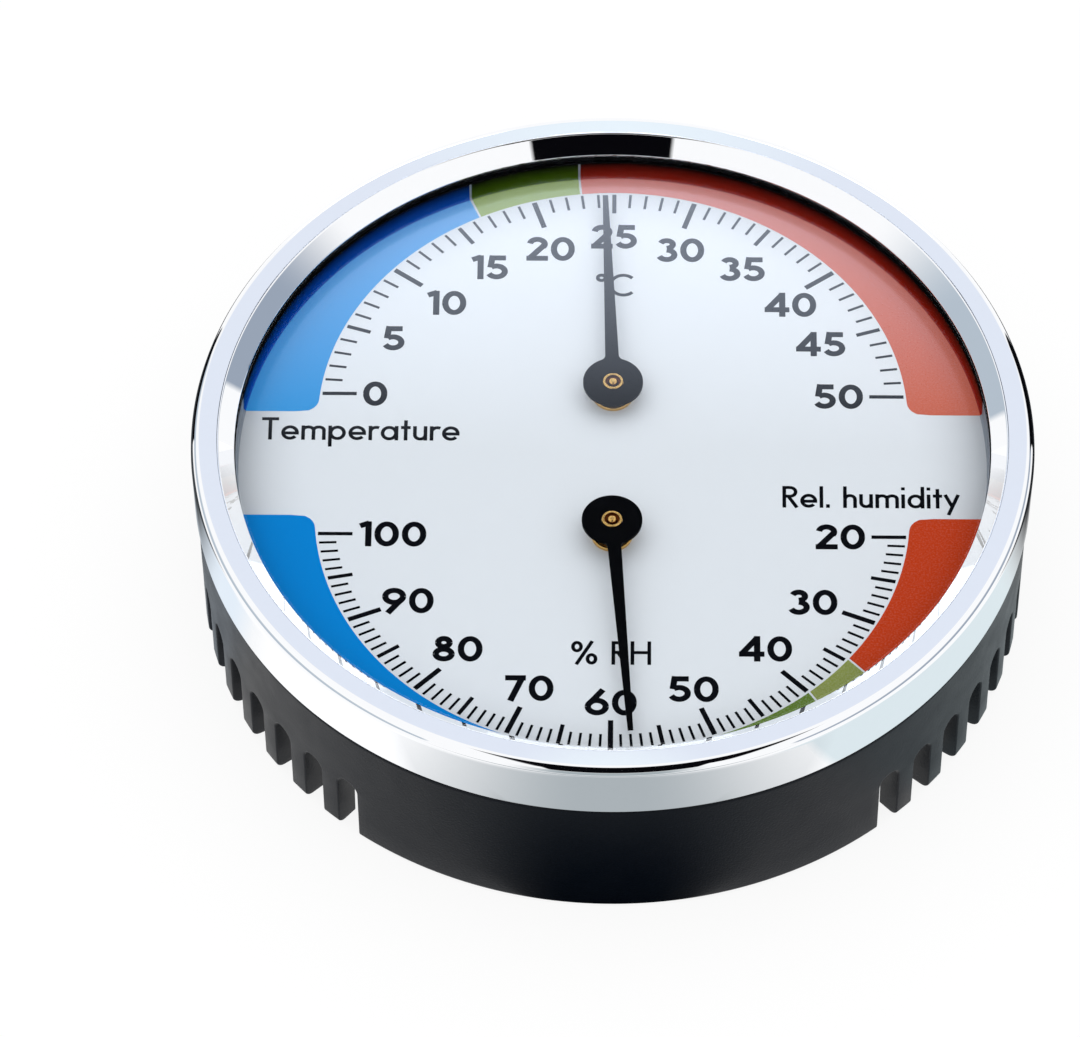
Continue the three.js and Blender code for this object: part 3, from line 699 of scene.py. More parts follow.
# Half of the pan's floor: straight lines from a round hole to the half disc's edge, at one height.
def floorHalf(side, height):
    roundSteps, straightSteps = dial["floorSteps"]
    base = np.linspace(-panFlat, panFlat, straightSteps + 1)[1:-1]
    edge = np.concatenate([arc(0, 0, panFlat, panFlat, 0, 180, roundSteps), np.stack([base, 0 * base], 1)])
    spoke = edge - (0, pivotOffset)
    hole = (0, pivotOffset) + dial["holeRadius"] * spoke / np.linalg.norm(spoke, axis=1, keepdims=True)
    points = hole + np.array(dial["spokeShares"])[:, None, None] * (edge - hole)
    points[..., 1] *= side
    return np.concatenate([points, np.full(points.shape[:2] + (1,), height)], -1)


# Round of the pan's lip, from its wall to its flange, moved off the enamel by a distance.
def panLip(top, lift):
    lip = dial["lip"]
    return arc(dial["panRadius"] + lip, top - lip, lip + lift, lip + min(lift, 0), 180, 90, 4)


# Pan: two floor halves on each face, the walls of the two holes, and the rim turned round.
def makePan():
    pan, fillet, sheet, top = dial["panRadius"], dial["fillet"], dial["sheet"], dialHigh[2]
    bodies = []
    for side in (1, -1):
        front, rear = floorHalf(side, dialFace), floorHalf(side, dialFace - sheet)
        bodies += [gridBody(grid, False, True) for grid in (front, rear, np.stack([front[0], rear[0]]))]
    inner = arc(panFlat, dialFace + fillet, fillet, fillet, -90, 0, 8)
    outer = arc(panFlat, dialFace + fillet, fillet + sheet, fillet + sheet, 0, -90, 8)
    flange = np.array([(dialHigh[0], top), (dialHigh[0], top - sheet), (pan + sheet, top - sheet)])
    bodies.append(turned(np.concatenate([inner, panLip(top, 0), flange, outer]), closed=False))
    piece = makePiece("dialPan", bodies, dialEnamel, "case", ["dial_plate"], sharp=40)
    # Faces above the dial, wall and lip, take the darker enamel as painted shade.
    dressFaces(piece, [shadedWallEnamel], lambda x, y, z: z > dialFace + slack)


# Inner edge of a colour band at angles from the dial's centre, 0 to 180 degrees: end line, corner, arc.
def bandInner(degrees):
    angle = np.radians(np.minimum(degrees, 180 - degrees))
    centre, end, corner = dial["arcCentre"], dial["bandEnd"], dial["bandCorner"]
    radius = dial["arcRadius"] + dial["bandGap"]
    onArc = centre * np.sin(angle) + np.sqrt(radius**2 - (centre * np.cos(angle)) ** 2)
    onLine = end / np.sin(angle)
    cornerY = end + corner
    cornerX = np.sqrt((radius + corner) ** 2 - (cornerY - centre) ** 2)
    along = cornerX * np.cos(angle) + cornerY * np.sin(angle)
    root = corner**2 - cornerX**2 - cornerY**2 + along**2
    onCorner = along - np.sqrt(np.maximum(root, 0))
    lineEnds = np.arctan2(end, cornerX)
    share = radius / (radius + corner)
    arcStarts = np.arctan2(centre + (cornerY - centre) * share, cornerX * share)
    return np.where(angle < lineEnds, onLine, np.where(angle < arcStarts, onCorner, onArc))


# Pan surface from a radius on the floor up the fillet and the wall, moved off the enamel by a distance.
def panProfile(inner, lift):
    fillet = dial["fillet"]
    floor = inner[:, None] + np.linspace(0, 1, 5)[:-1] * (panFlat - inner)[:, None]
    curve = arc(panFlat, fillet, fillet - lift, fillet - lift, -90, 0, 8)
    rise = np.concatenate([curve, panLip(dialHigh[2] - dialFace, lift)])
    shape = len(inner), len(rise)
    radius = np.concatenate([floor, np.broadcast_to(rise[:, 0], shape)], 1)
    height = np.concatenate([np.full(floor.shape, lift), np.broadcast_to(rise[:, 1], shape)], 1)
    return radius, height


# Colour band between two angles: the pan's surface lifted to the ink's top, with a root under the enamel.
def bandBody(start, end, side):
    least = np.degrees(np.arcsin(dial["bandEnd"] / panFlat)) + 1e-3
    start, end = max(start, least), min(end, 180 - least)
    degrees = np.linspace(start, end, int(np.ceil((end - start) / dial["bandStep"])) + 1)
    inner = np.minimum(bandInner(degrees), panFlat)
    top, root = panProfile(inner, dial["inkTop"]), panProfile(inner, dial["inkRoot"])
    radius, height = (np.concatenate([t, r[:, ::-1]], 1) for t, r in zip(top, root))
    return cappedBody(onRing(np.radians(side * degrees)[:, None], radius, height + dialFace), True)


# Colour bands, in degrees about the dial's centre from +X, counted towards the scale's own side.
bands = [
    ("thermometerRedBand", warmInk, 0, 95.5, 1),
    ("thermometerGreenBand", mildInk, 95.5, 113, 1),
    ("thermometerBlueBand", coolInk, 113, 180, 1),
    ("hygrometerRedBand", redInk, 0, 46, -1),
    ("hygrometerOliveBand", oliveInk, 46, 55.5, -1),
    ("hygrometerGreenBand", greenInk, 55.5, 98, -1),
    ("hygrometerBlueBand", blueInk, 98, 180, -1),
]


# Bands, with half a divider's width left white at each inner end.
def makeBands():
    width, radius = dial["divider"]
    gap = np.degrees(width / 2 / radius)
    for name, ink, start, end, side in bands:
        makePiece(name, [bandBody(start + gap, end - gap, side)], ink, "case", sharp=40)


# Scales: half a turn over the range, clockwise from a start in degrees, and the units between numbers.
scales = {
    "thermometer": {"low": 0, "high": 50, "start": 180, "labels": 5},
    "hygrometer": {"low": 20, "high": 100, "start": 360, "labels": 10},
}
# Length and width of the ticks at tens, fives, ones and both ends.
ticks = [(4.17, 0.63), (3.0, 0.5), (2.1, 0.32), (4.17, 0.5)]


# Unit step from the scale's pivot towards readings: the cosine and sine of their directions.
def readingLine(scale, value):
    share = (value - scale["low"]) / (scale["high"] - scale["low"])
    return np.stack(polar(1, scale["start"] - 180 * share), -1)


# Tick outlines: a strip along the line from the pivot, from the tick arc inwards.
def tickOutlines(scale, pivot):
    value = np.arange(scale["low"], scale["high"] + 1)
    along = readingLine(scale, value)
    across = np.stack([-along[:, 1], along[:, 0]], 1)
    shift = pivot[1] - np.sign(pivot[1]) * dial["arcCentre"]
    reach = -shift * along[:, 1] + np.sqrt(dial["arcRadius"] ** 2 - (shift * along[:, 0]) ** 2)
    ends = (value == scale["low"]) | (value == scale["high"])
    kind = np.where(ends, 3, np.where(value % 10 == 0, 0, np.where(value % 5 == 0, 1, 2)))
    length, width = np.array(ticks)[kind].T
    far = np.stack([reach, reach - length, reach - length, reach], 1)
    wide = width[:, None] / 2 * np.array([1, 1, -1, -1])
    return pivot[:2] + far[..., None] * along[:, None] + wide[..., None] * across[:, None]


# Ink given a body: joined outlines, from just under the enamel to just above it.
def inkBody(outlines):
    return thickened(*flatTriangles(outlines, True), dialFace + dial["inkRoot"], dialFace + dial["inkTop"])


# Strip of a given half width along a line of points, moved to both sides by its normals.
def strip(points, half):
    along = np.gradient(points, axis=0)
    along /= np.linalg.norm(along, axis=1, keepdims=True)
    normal = np.stack([-along[:, 1], along[:, 0]], 1)
    return np.concatenate([points + half * normal, (points - half * normal)[::-1]])


# Straight stroke between two points.
def line(x0, y0, x1, y1):
    return np.array([(x0, y0), (x1, y1)], float)


# Full ellipse as two strokes.
def ring(x, y, halfWidth, halfHeight):
    return [arc(x, y, halfWidth, halfHeight, 0, 180), arc(x, y, halfWidth, halfHeight, 180, 360)]


# Width and strokes of each sign for a half stroke width h, in a frame whose capitals are 1 tall
# and whose small letters are x tall.
def signStrokes(h, x=0.64):
    return {
        "0": (0.78, ring(0.39, 0.5, 0.39 - h, 0.5 - h)),
        "1": (0.4, [line(0.4 - h, 0, 0.4 - h, 1), line(0.03, 0.82, 0.42 - h, 0.94)]),
        "2": (0.7, [
            arc(0.35, 0.7, 0.34 - h, 0.3 - h, 172, -38), line(0.56, 0.64, 0.1, h), line(0, h, 0.7, h),
        ]),
        "3": (0.66, [
            arc(0.31, 0.74, 0.3 - h, 0.26 - h, 160, -90), arc(0.31, 0.3, 0.35 - h, 0.3 - h, 90, -160),
        ]),
        "4": (0.8, [line(0.57, 0, 0.57, 1), line(0.57, 0.93, 0.08, 0.29), line(0, 0.29, 0.8, 0.29)]),
        "5": (0.7, [
            line(0.14, 1 - h, 0.63, 1 - h), line(0.2, 1, 0.13, 0.5),
            arc(0.33, 0.33, 0.37 - h, 0.33 - h, 128, -155),
        ]),
        "6": (0.76, [*ring(0.38, 0.34, 0.38 - h, 0.34 - h), line(0.57, 1, 0.15, 0.46)]),
        "7": (0.68, [line(0.03, 1 - h, 0.68, 1 - h), line(0.58, 0.95, 0.2, 0)]),
        "8": (0.7, [*ring(0.35, 0.74, 0.28 - h, 0.26 - h), *ring(0.35, 0.29, 0.35 - h, 0.29 - h)]),
        "9": (0.76, [*ring(0.38, 0.66, 0.38 - h, 0.34 - h), line(0.61, 0.54, 0.19, 0)]),
        "T": (0.6, [line(0, 1 - h, 0.6, 1 - h), line(0.3, 0, 0.3, 1)]),
        "R": (0.56, [
            line(h, 0, h, 1), line(h, 1 - h, 0.28, 1 - h), line(h, 0.46 + h, 0.28, 0.46 + h),
            arc(0.28, 0.73, 0.27 - h, 0.27 - h, 90, -90), line(0.24, 0.48, 0.53, 0),
        ]),
        "H": (0.7, [line(h, 0, h, 1), line(0.7 - h, 0, 0.7 - h, 1), line(h, 0.52, 0.7 - h, 0.52)]),
        "C": (0.84, [arc(0.5, 0.5, 0.5 - h, 0.5 - h, 46, 314, 24)]),
        "a": (0.62, [*ring(0.3, 0.32, 0.3 - h, 0.32 - h), line(0.62 - h, 0, 0.62 - h, x)]),
        "d": (0.62, [*ring(0.3, 0.32, 0.3 - h, 0.32 - h), line(0.62 - h, 0, 0.62 - h, 1)]),
        "e": (0.62, [
            arc(0.31, 0.32, 0.31 - h, 0.32 - h, 0, 180), arc(0.31, 0.32, 0.31 - h, 0.32 - h, 180, 318),
            line(h, 0.3, 0.62, 0.3),
        ]),
        "h": (0.5, [
            line(h, 0, h, 1), line(0.5 - h, 0, 0.5 - h, 0.4), arc(0.25, 0.4, 0.25 - h, 0.24 - h, 0, 180),
        ]),
        "i": (2 * h, [line(h, 0, h, x), line(h, 0.84, h, 0.97)]),
        "l": (2 * h, [line(h, 0, h, 1)]),
        "m": (0.86, [
            line(h, 0, h, x), line(0.43, 0, 0.43, 0.43), line(0.86 - h, 0, 0.86 - h, 0.43),
            arc(0.215 + h / 2, 0.43, 0.215 - h / 2, 0.21 - h, 0, 180),
            arc(0.645 - h / 2, 0.43, 0.215 - h / 2, 0.21 - h, 0, 180),
        ]),
        "p": (0.62, [*ring(0.32, 0.32, 0.3 - h, 0.32 - h), line(h, -0.3, h, x)]),
        "r": (0.34, [line(h, 0, h, x), arc(0.27, 0.38, 0.27 - h, 0.26 - h, 180, 62)]),
        "t": (0.34, [line(0.17, 0, 0.17, 0.9), line(0, x - h, 0.34, x - h)]),
        "u": (0.5, [
            line(h, 0.25, h, x), line(0.5 - h, 0, 0.5 - h, x),
            arc(0.25, 0.25, 0.25 - h, 0.25 - h, 180, 360),
        ]),
        "y": (0.52, [line(0.02, x, 0.29, 0.04), line(0.5, x, 0.13, -0.3)]),
        ".": (2.4 * h, [line(1.2 * h, 0, 1.2 * h, 2.4 * h)]),
        "°": (0.38, ring(0.19, 0.82, 0.19 - h, 0.18 - h)),
        "%": (0.9, [
            *ring(0.2, 0.76, 0.2 - h, 0.24 - h), *ring(0.7, 0.24, 0.2 - h, 0.24 - h),
            line(0.72, 1, 0.18, 0),
        ]),
        " ": (0.3, []),
    }


# Outlines of a word and its width: signs in a row, scaled to a capital height, starting at the origin.
def wordOutlines(word, height, stroke, gap):
    half = stroke / height / 2
    signs, pen, outlines = signStrokes(half), 0.0, []
    for letter in word:
        width, strokes = signs[letter]
        outlines += [strip(points + (pen, 0), half) * height for points in strokes]
        pen += width + gap
    return outlines, (pen - gap) * height


numerals = {
    "style": (3.8, 0.76, 0.09),  # height, stroke, gap
    # distance from pivot to a number's outer side at the top, and what it gains at the ends
    "reach": (27.1, 3.4),
}
# Numbers that stand off the rule by more than a third of a millimetre, as printed.
numberNudges = {
    "thermometer": {
        10: (0.7, -1.0), 15: (-0.4, -0.4), 20: (-0.2, -0.3),
        30: (0.6, -0.4), 35: (1.1, -0.2), 40: (1.0, -0.6),
    },
    "hygrometer": {80: (-0.4, 0.6), 70: (-0.3, -0.3), 50: (0.4, -0.3), 40: (0.6, 0.8), 30: (-0.4, 0.2)},
}
# Words: place, style, and the share of the width that lies left of the place.
words = [
    ("Temperature", (-42.7, 3.6), (3.45, 0.44, 0.09), 0),
    ("Rel. humidity", (41.9, -6.4), (3.3, 0.44, 0.09), 1),
    ("°C", (0.1, 26.5), (3.6, 0.44, 0.06), 0.5),
    ("% RH", (0.0, -30.4), (3.5, 0.44, 0.09), 0.5),
]


# Numbers of a scale: each is set back along its tick's line until its outer side meets the number arc.
def numberOutlines(name, pivot):
    scale, outlines = scales[name], []
    least, gain = numerals["reach"]
    for value in range(scale["low"], scale["high"] + 1, scale["labels"]):
        shapes, width = wordOutlines(str(value), *numerals["style"])
        half = np.array([width, numerals["style"][0]]) / 2
        along = readingLine(scale, value)
        reach = least + gain * along[0] ** 2 - (abs(along) * half).sum()
        corner = pivot[:2] + along * reach + numberNudges[name].get(value, (0, 0)) - half
        outlines += [shape + corner for shape in shapes]
    return outlines


# All printing in one ink: ticks, numbers, words.
def makePrinting():
    prints = {}
    for name, pivot in pivots.items():
        prints[name + "Ticks"] = tickOutlines(scales[name], pivot)
        prints[name + "Numbers"] = numberOutlines(name, pivot)
    for index, (word, (x, y), style, share) in enumerate(words):
        shapes, width = wordOutlines(word, *style)
        prints[f"dialWord{index + 1}"] = [shape + (x - share * width, y) for shape in shapes]
    for name, outlines in prints.items():
        makePiece(name, [inkBody(outlines)], printInk, "case")


makeHousing()
makeBezel()
makeLens()
makePan()
makeBands()
makePrinting()
print("stage: case, ring, lens, dial and printing made")


# Pointers with their collars, arbors and dial bushes

pointer = {
    "sheet": 0.4,
    "length": 30.45,
    "hubRadius": 3.65,
    "holeRadius": 1.3,
    "rootWidth": 1.65,
    "tipWidth": 0.65,
    "rootFillet": 0.8,
    "crease": 6.6,  # the blade bends down here
    "tipHeight": 1.8,
    "hubHeight": {"thermometer": 2.7, "hygrometer": 3.2},
}
collar = {
    "radius": 1.24,
    "bore": 0.68,
    "rim": 0.93,
    "groove": 0.4,
    "lean": 0.04,  # of the groove's wall
    # the groove's painted shade starts this far below its top
    "bright": 0.04,  # the groove is dark below this depth
}
arbor = {"radius": 0.53, "dome": 0.12}
bush = {"flangeRadius": 2.5, "flangeHeight": 0.5, "noseRadius": 1.75, "bore": 0.68}


# Pointer outline up the Y axis in two parts that meet at the crease: hub with its fillets, tapered blade.
def pointerOutlines():
    hub, fillet, length, crease = (pointer[key] for key in ("hubRadius", "rootFillet", "length", "crease"))
    root, tip = pointer["rootWidth"] / 2, pointer["tipWidth"] / 2
    side = root + fillet
    rise = np.sqrt((hub + fillet) ** 2 - side**2)
    toHub = np.degrees(np.arctan2(-rise, -side))
    atCrease = root + (tip - root) * (crease - rise) / (length - rise)
    bend = arc(side, rise, fillet, fillet, 180, 360 + toHub, 6)
    around = arc(0, 0, hub, hub, np.degrees(np.arctan2(rise, side)), -90, 40)
    right = np.concatenate([[(atCrease, crease)], bend, around[1:]])
    lower = np.concatenate([right, (right * (-1, 1))[::-1][1:]])
    upper = np.array([(-atCrease, crease), (-tip, length), (tip, length), (atCrease, crease)])
    return lower, upper


# Direction of a pointer at rest, from its CAD node: where the node's far end lies from the pivot.
def pointerDirection(name, pivot):
    node = frame["nodes"][name + "_pointer"]
    points = np.array([v.co for v in node.data.vertices]) / mm - pivot
    far = points[np.hypot(points[:, 0], points[:, 1]) > pointer["length"] - 1][:, :2].mean(0)
    return np.degrees(np.arctan2(far[1], far[0]))


# Pointer: the outline cut from sheet, bored, and bent down past the crease, its tip near the dial.
def makePointer(name, pivot):
    bore, hubHeight = pointer["holeRadius"], pointer["hubHeight"][name]
    hole = circle(0, 0, bore, 40)
    flat, triangles = flatTriangles(pointerOutlines(), True, zip(hole, np.roll(hole, -1, 0)))
    triangles = triangles[np.hypot(*flat[triangles].mean(1).T) > bore]
    points, *faces = thickened(flat, triangles, hubHeight - pointer["sheet"], hubHeight)
    slope = (hubHeight - pointer["tipHeight"]) / (pointer["length"] - pointer["crease"])
    points[:, 2] += dialFace - slope * np.maximum(points[:, 1] - pointer["crease"], 0)
    body = placed(points, pivot, pointerDirection(name, pivot) - 90), *faces
    hand, node = name + "_hand", name + "_pointer"
    makePiece(name + "Pointer", [body], pointerLacquer, hand, [node])


# Brass piece turned about a pivot: a rule makes its section from its CAD node's lowest and highest level.
def makeTurned(label, node, pivot, body, rule, steps, columns):
    low, high = nodeBox(node)
    section = roundedOutline(rule(low[2], high[2]), steps)
    return makePiece(label, [turned(section, pivot, columns)], turnedBrass, body, [node])


# Collar section: a ring, sunk inside its rim.
def collarSection(low, top):
    bore, radius, rim, floor = collar["bore"], collar["radius"], collar["rim"], top - collar["groove"]
    return [
        (bore, low, 0.05), (radius, low, 0.08), (radius, top, 0.1), (rim, top, 0.06),
        (rim - collar["lean"], floor, 0.05), (bore, floor, 0.05),
    ]


# Arbor section: a pin with a domed tip.
def arborSection(low, top):
    radius = arbor["radius"]
    return [
        (onAxis, low, 0), (radius, low, 0.1), (radius, top - arbor["dome"], 0.2),
        (radius / 2, top, 0.2), (onAxis, top, 0),
    ]


# Dial bush section: a flange on the dial and a nose through it, with broken edges.
def bushSection(low, top):
    bore, nose, wide = bush["bore"], bush["noseRadius"], bush["flangeRadius"]
    flange = dialFace + bush["flangeHeight"]
    return [
        (bore, low, 0.05), (nose, low, 0.1), (nose, dialFace, 0.02), (wide, dialFace, 0.05),
        (wide, flange, 0.14), (nose, flange, 0.08), (nose, top, 0.15), (bore, top, 0.05),
    ]


# Collar with painted shade in its groove, arbor and dial bush of one movement.
def makeSpindle(name, pivot):
    hand, node = name + "_hand", name + "_pointer_bush"
    piece = makeTurned(name + "Collar", node, pivot, hand, collarSection, 3, 64)
    deep = nodeBox(node)[1][2] - collar["bright"]

    def inside(x, y, z):
        return (np.hypot(x - pivot[0], y - pivot[1]) < collar["rim"]) & (z < deep)

    # Faces inside the rim and below that depth get the painted groove shade.
    dressFaces(piece, [shadedGrooveBrass], inside)
    makeTurned(name + "Arbor", name + "_arbor", pivot, hand, arborSection, 4, 48)
    makeTurned(name + "Bush", name + "_dial_bush", pivot, "case", bushSection, 3, 72)


for name, pivot in pivots.items():
    makePointer(name, pivot)
    makeSpindle(name, pivot)
print("stage: pointers, collars, arbors and bushes made")


# Back plate and its screws

back = {
    "edge": 0.25,
    "keyhole": (25.0, 4.5, 2.2, 8.0),  # place and radius of its head, half width and rise of its slot
    "ventHalf": 1.0,
    "ventReach": 7.0,
    "vents": (8.0, 4.6, 4),  # first, pitch, number on each side
    "access": 2.6,
    "screwHole": 1.45,
}
screw = {
    "headRadius": 2.6,
    "headHeight": 1.6,
    "crown": 0.5,
    "shankRadius": 1.15,
    "shankLength": 8.4,
    "cross": (0.31, 1.75, 0.9),  # half width and half length of a bar, depth
    "turn": (20, 35),  # degrees, of the first screw and from one to the next
    "columns": 48,
}


# Keyhole: a round head with a slot rising from it, grown by a distance.
def keyhole(grow):
    centre, head, half, rise = back["keyhole"]
    head, half = head + grow, half + grow
    meet = np.degrees(np.arcsin(half / head))
    around = arc(0, centre, head, head, 90 + meet, 450 - meet, 48)
    return np.concatenate([around, arc(0, centre + rise, half, half, 0, 180, 18)])


# Outlines of the plate's holes, grown by a distance: keyhole, access hole, round-ended vents, screw holes.
def plateHoles(grow):
    first, pitch, count = back["vents"]
    reach = first + pitch * np.arange(count)
    low, high = -pivotOffset - back["ventReach"], -pivotOffset + back["ventReach"]
    half = back["ventHalf"] + grow
    holes = [keyhole(grow), circle(0, -pivotOffset, back["access"] + grow, 36)]
    for x in np.concatenate([-reach, reach]):
        upper, lower = arc(x, high, half, half, 0, 180, 18), arc(x, low, half, half, 180, 360, 18)
        holes.append(np.concatenate([upper, lower]))
    for degrees in housing["bossAngles"]:
        holes.append(circle(*polar(housing["boss"][0], degrees), back["screwHole"] + grow, 36))
    return holes


# Plate: two flat faces with their holes, and walls whose edges are cut back, each hole and the rim a grid.
def makeBackPlate():
    edge, low, high, radius = back["edge"], plateLow[2], plateHigh[2], plateHigh[0]
    wide, narrow = ([circle(0, 0, radius - grow, 200), *plateHoles(grow)] for grow in (edge, 0))
    flat, triangles = flatTriangles(wide, False)
    bodies = [(atHeight(flat, z), triangles) for z in (low, high)]
    for cut, full in zip(wide, narrow):
        levels = [(cut, low), (full, low + edge), (full, high - edge), (cut, high)]
        bodies.append(gridBody(np.stack([atHeight(loop, z) for loop, z in levels]), False, True))
    makePiece("backPlate", bodies, housingPlastic, "case", ["back_plate"], sharp=38)


# Cross outline: one arm of a half width and a half length, turned by quarters.
def crossOutline(half, reach):
    arm = np.array([(reach, -half), (reach, half), (half, half)])
    quarter = np.array([[0, 1], [-1, 0]])
    return np.concatenate([arm @ np.linalg.matrix_power(quarter, turns) for turns in range(4)])


# Screw: a turned head and shank, with a flat around a cross recess that has straight walls and a floor.
def makeScrew(index, degrees):
    head, crown, shank = screw["headRadius"], screw["crown"], screw["shankRadius"]
    seat = plateLow[2]
    face, tip = seat - screw["headHeight"], seat + screw["shankLength"]
    half, reach, depth = screw["cross"]
    edge = arc(head - crown, face + crown, crown, crown, -90, 0, 6)
    lower = [(head, seat), (shank, seat), (shank, tip - shank), (onAxis, tip)]
    columns = screw["columns"]
    shell, quads = turned(np.concatenate([edge, lower]), columns=columns, closed=False)
    rim, cross = shell.reshape(columns, -1, 3)[:, 0, :2], crossOutline(half, reach)
    bodies = [(shell, quads)]
    for level, outlines in ((face, [rim, cross]), (face + depth, [cross])):
        flat, triangles = flatTriangles(outlines, False)
        bodies.append((atHeight(flat, level), triangles))
    bodies.append(gridBody(np.stack([atHeight(cross, z) for z in (face, face + depth)]), False, True))
    place, (start, step) = polar(housing["boss"][0], degrees), screw["turn"]
    bodies = [(placed(points, place, start + step * index), *faces) for points, *faces in bodies]
    makePiece(f"backScrew{index + 1}", bodies, plainSteel, "case", [f"back_screw_{index + 1}"])


makeBackPlate()
for index, degrees in enumerate(housing["bossAngles"]):
    makeScrew(index, degrees)
print("stage: back plate and screws made")


# Movement pieces that stay as CAD nodes get their finishes

finishes = [
    (turnedBrass, "thermometer_bush_nut thermometer_rear_bearing thermometer_collet"),
    (turnedBrass, "hygrometer_bush_nut hygrometer_regulator hygrometer_collet"),
    (plainSteel, "thermometer_bridge thermometer_anchor_post bimetal_coil"),
    (plainSteel, "hygrometer_bridge regulator_pin regulator_clip"),
    (coilLaminate, "humidity_coil"),
]
for material, nodes in finishes:
    for node in nodes.split():
        mesh = frame["nodes"][node].data
        mesh.materials.clear()
        mesh.materials.append(material)
print("stage: movement finished")


# Stage: floor, reflection cards, world, camera

studio = {
    "floorSize": 3000.0,
    "floorLevel": -0.02,
    "floorWhite": 0.86,  # share of plain white in what the camera and mirrors see of the floor
    "lightRise": (0.1, 0.9),  # heights in the sky between which the light on lit surfaces grows
    "light": (0.08, 1.5),  # its strength from the horizon and from overhead
    "floorTone": (0.9, 0.9, 0.9, 1),
    "floorGlow": 1.02,
    "cardPoints": 33,  # along each side of a card
}
white = (1, 1, 1, 1)


# Smooth step: 0 below 0, 1 above 1, and 3t^2 - 2t^3 between.
def smoothStep(value):
    t = np.clip(value, 0, 1)
    return t * t * (3 - 2 * t)


# A stage object from a grid of points, with the share of it that shows kept on each point.
def makePane(name, points, shown, material, closeColumns=False):
    flat, quads = gridBody(points * mm, False, closeColumns)
    mesh = bpy.data.meshes.new(name)
    mesh.from_pydata(flat.tolist(), [], quads.tolist())
    layer = mesh.attributes.new("shown", "FLOAT", "POINT")
    layer.data.foreach_set("value", shown.ravel().astype(np.float32))
    mesh.materials.append(material)
    pane = addObject(name, mesh)
    return pane


# A flat card: centre plus two half axes. It shows by a share that falls off towards its left,
# right, bottom and top.
def makeCard(name, centre, halfAcross, halfUp, material, soft=(0, 0, 0, 0)):
    step = np.linspace(-1, 1, studio["cardPoints"])
    across, up = np.meshgrid(step, step, indexing="xy")
    points = centre + across[..., None] * np.array(halfAcross) + up[..., None] * np.array(halfUp)
    sides = zip((1 + across, 1 - across, 1 + up, 1 - up), np.maximum(soft, 1e-6))
    shown = np.prod([smoothStep(way / reach) for way, reach in sides], axis=0)
    return makePane(name, points, shown, material)


# Only mirrors see it: no camera, no light on other surfaces, no shadow.
def onlyMirrors(pane):
    for use in ("camera", "diffuse", "transmission", "shadow"):
        setattr(pane, "visible_" + use, False)


# Whether a ray comes from the camera, a mirror or a clear sheet: the largest of the three marks.
def seenRay(tree):
    path = addNode(tree, "LightPath").outputs
    seen = calc(tree, "MAXIMUM", path["Is Camera Ray"], path["Is Glossy Ray"])
    return calc(tree, "MAXIMUM", seen, path["Is Transmission Ray"])


# Floor: plain white to camera and mirrors by a large share, the rest a lit pale surface with its shadows.
def floorMaterial():
    material, tree = bareMaterial("paleFloor")
    share = calc(tree, "MULTIPLY", seenRay(tree), studio["floorWhite"])
    pale = addNode(tree, "BsdfDiffuse", {"Color": studio["floorTone"]})
    plain = addNode(tree, "Emission", {"Color": white, "Strength": studio["floorGlow"]})
    showMix(tree, "Material Output", share, pale, plain)
    return material


# Glow of a card, mixed with a see-through sheet by the share that the card shows.
def glowMaterial(name, colour, strength=1.0):
    material, tree = bareMaterial(name)
    shown = addNode(tree, "Attribute", attribute_name="shown").outputs["Fac"]
    glow = addNode(tree, "Emission", {"Color": colour, "Strength": strength})
    showMix(tree, "Material Output", shown, addNode(tree, "BsdfTransparent"), glow)
    return material


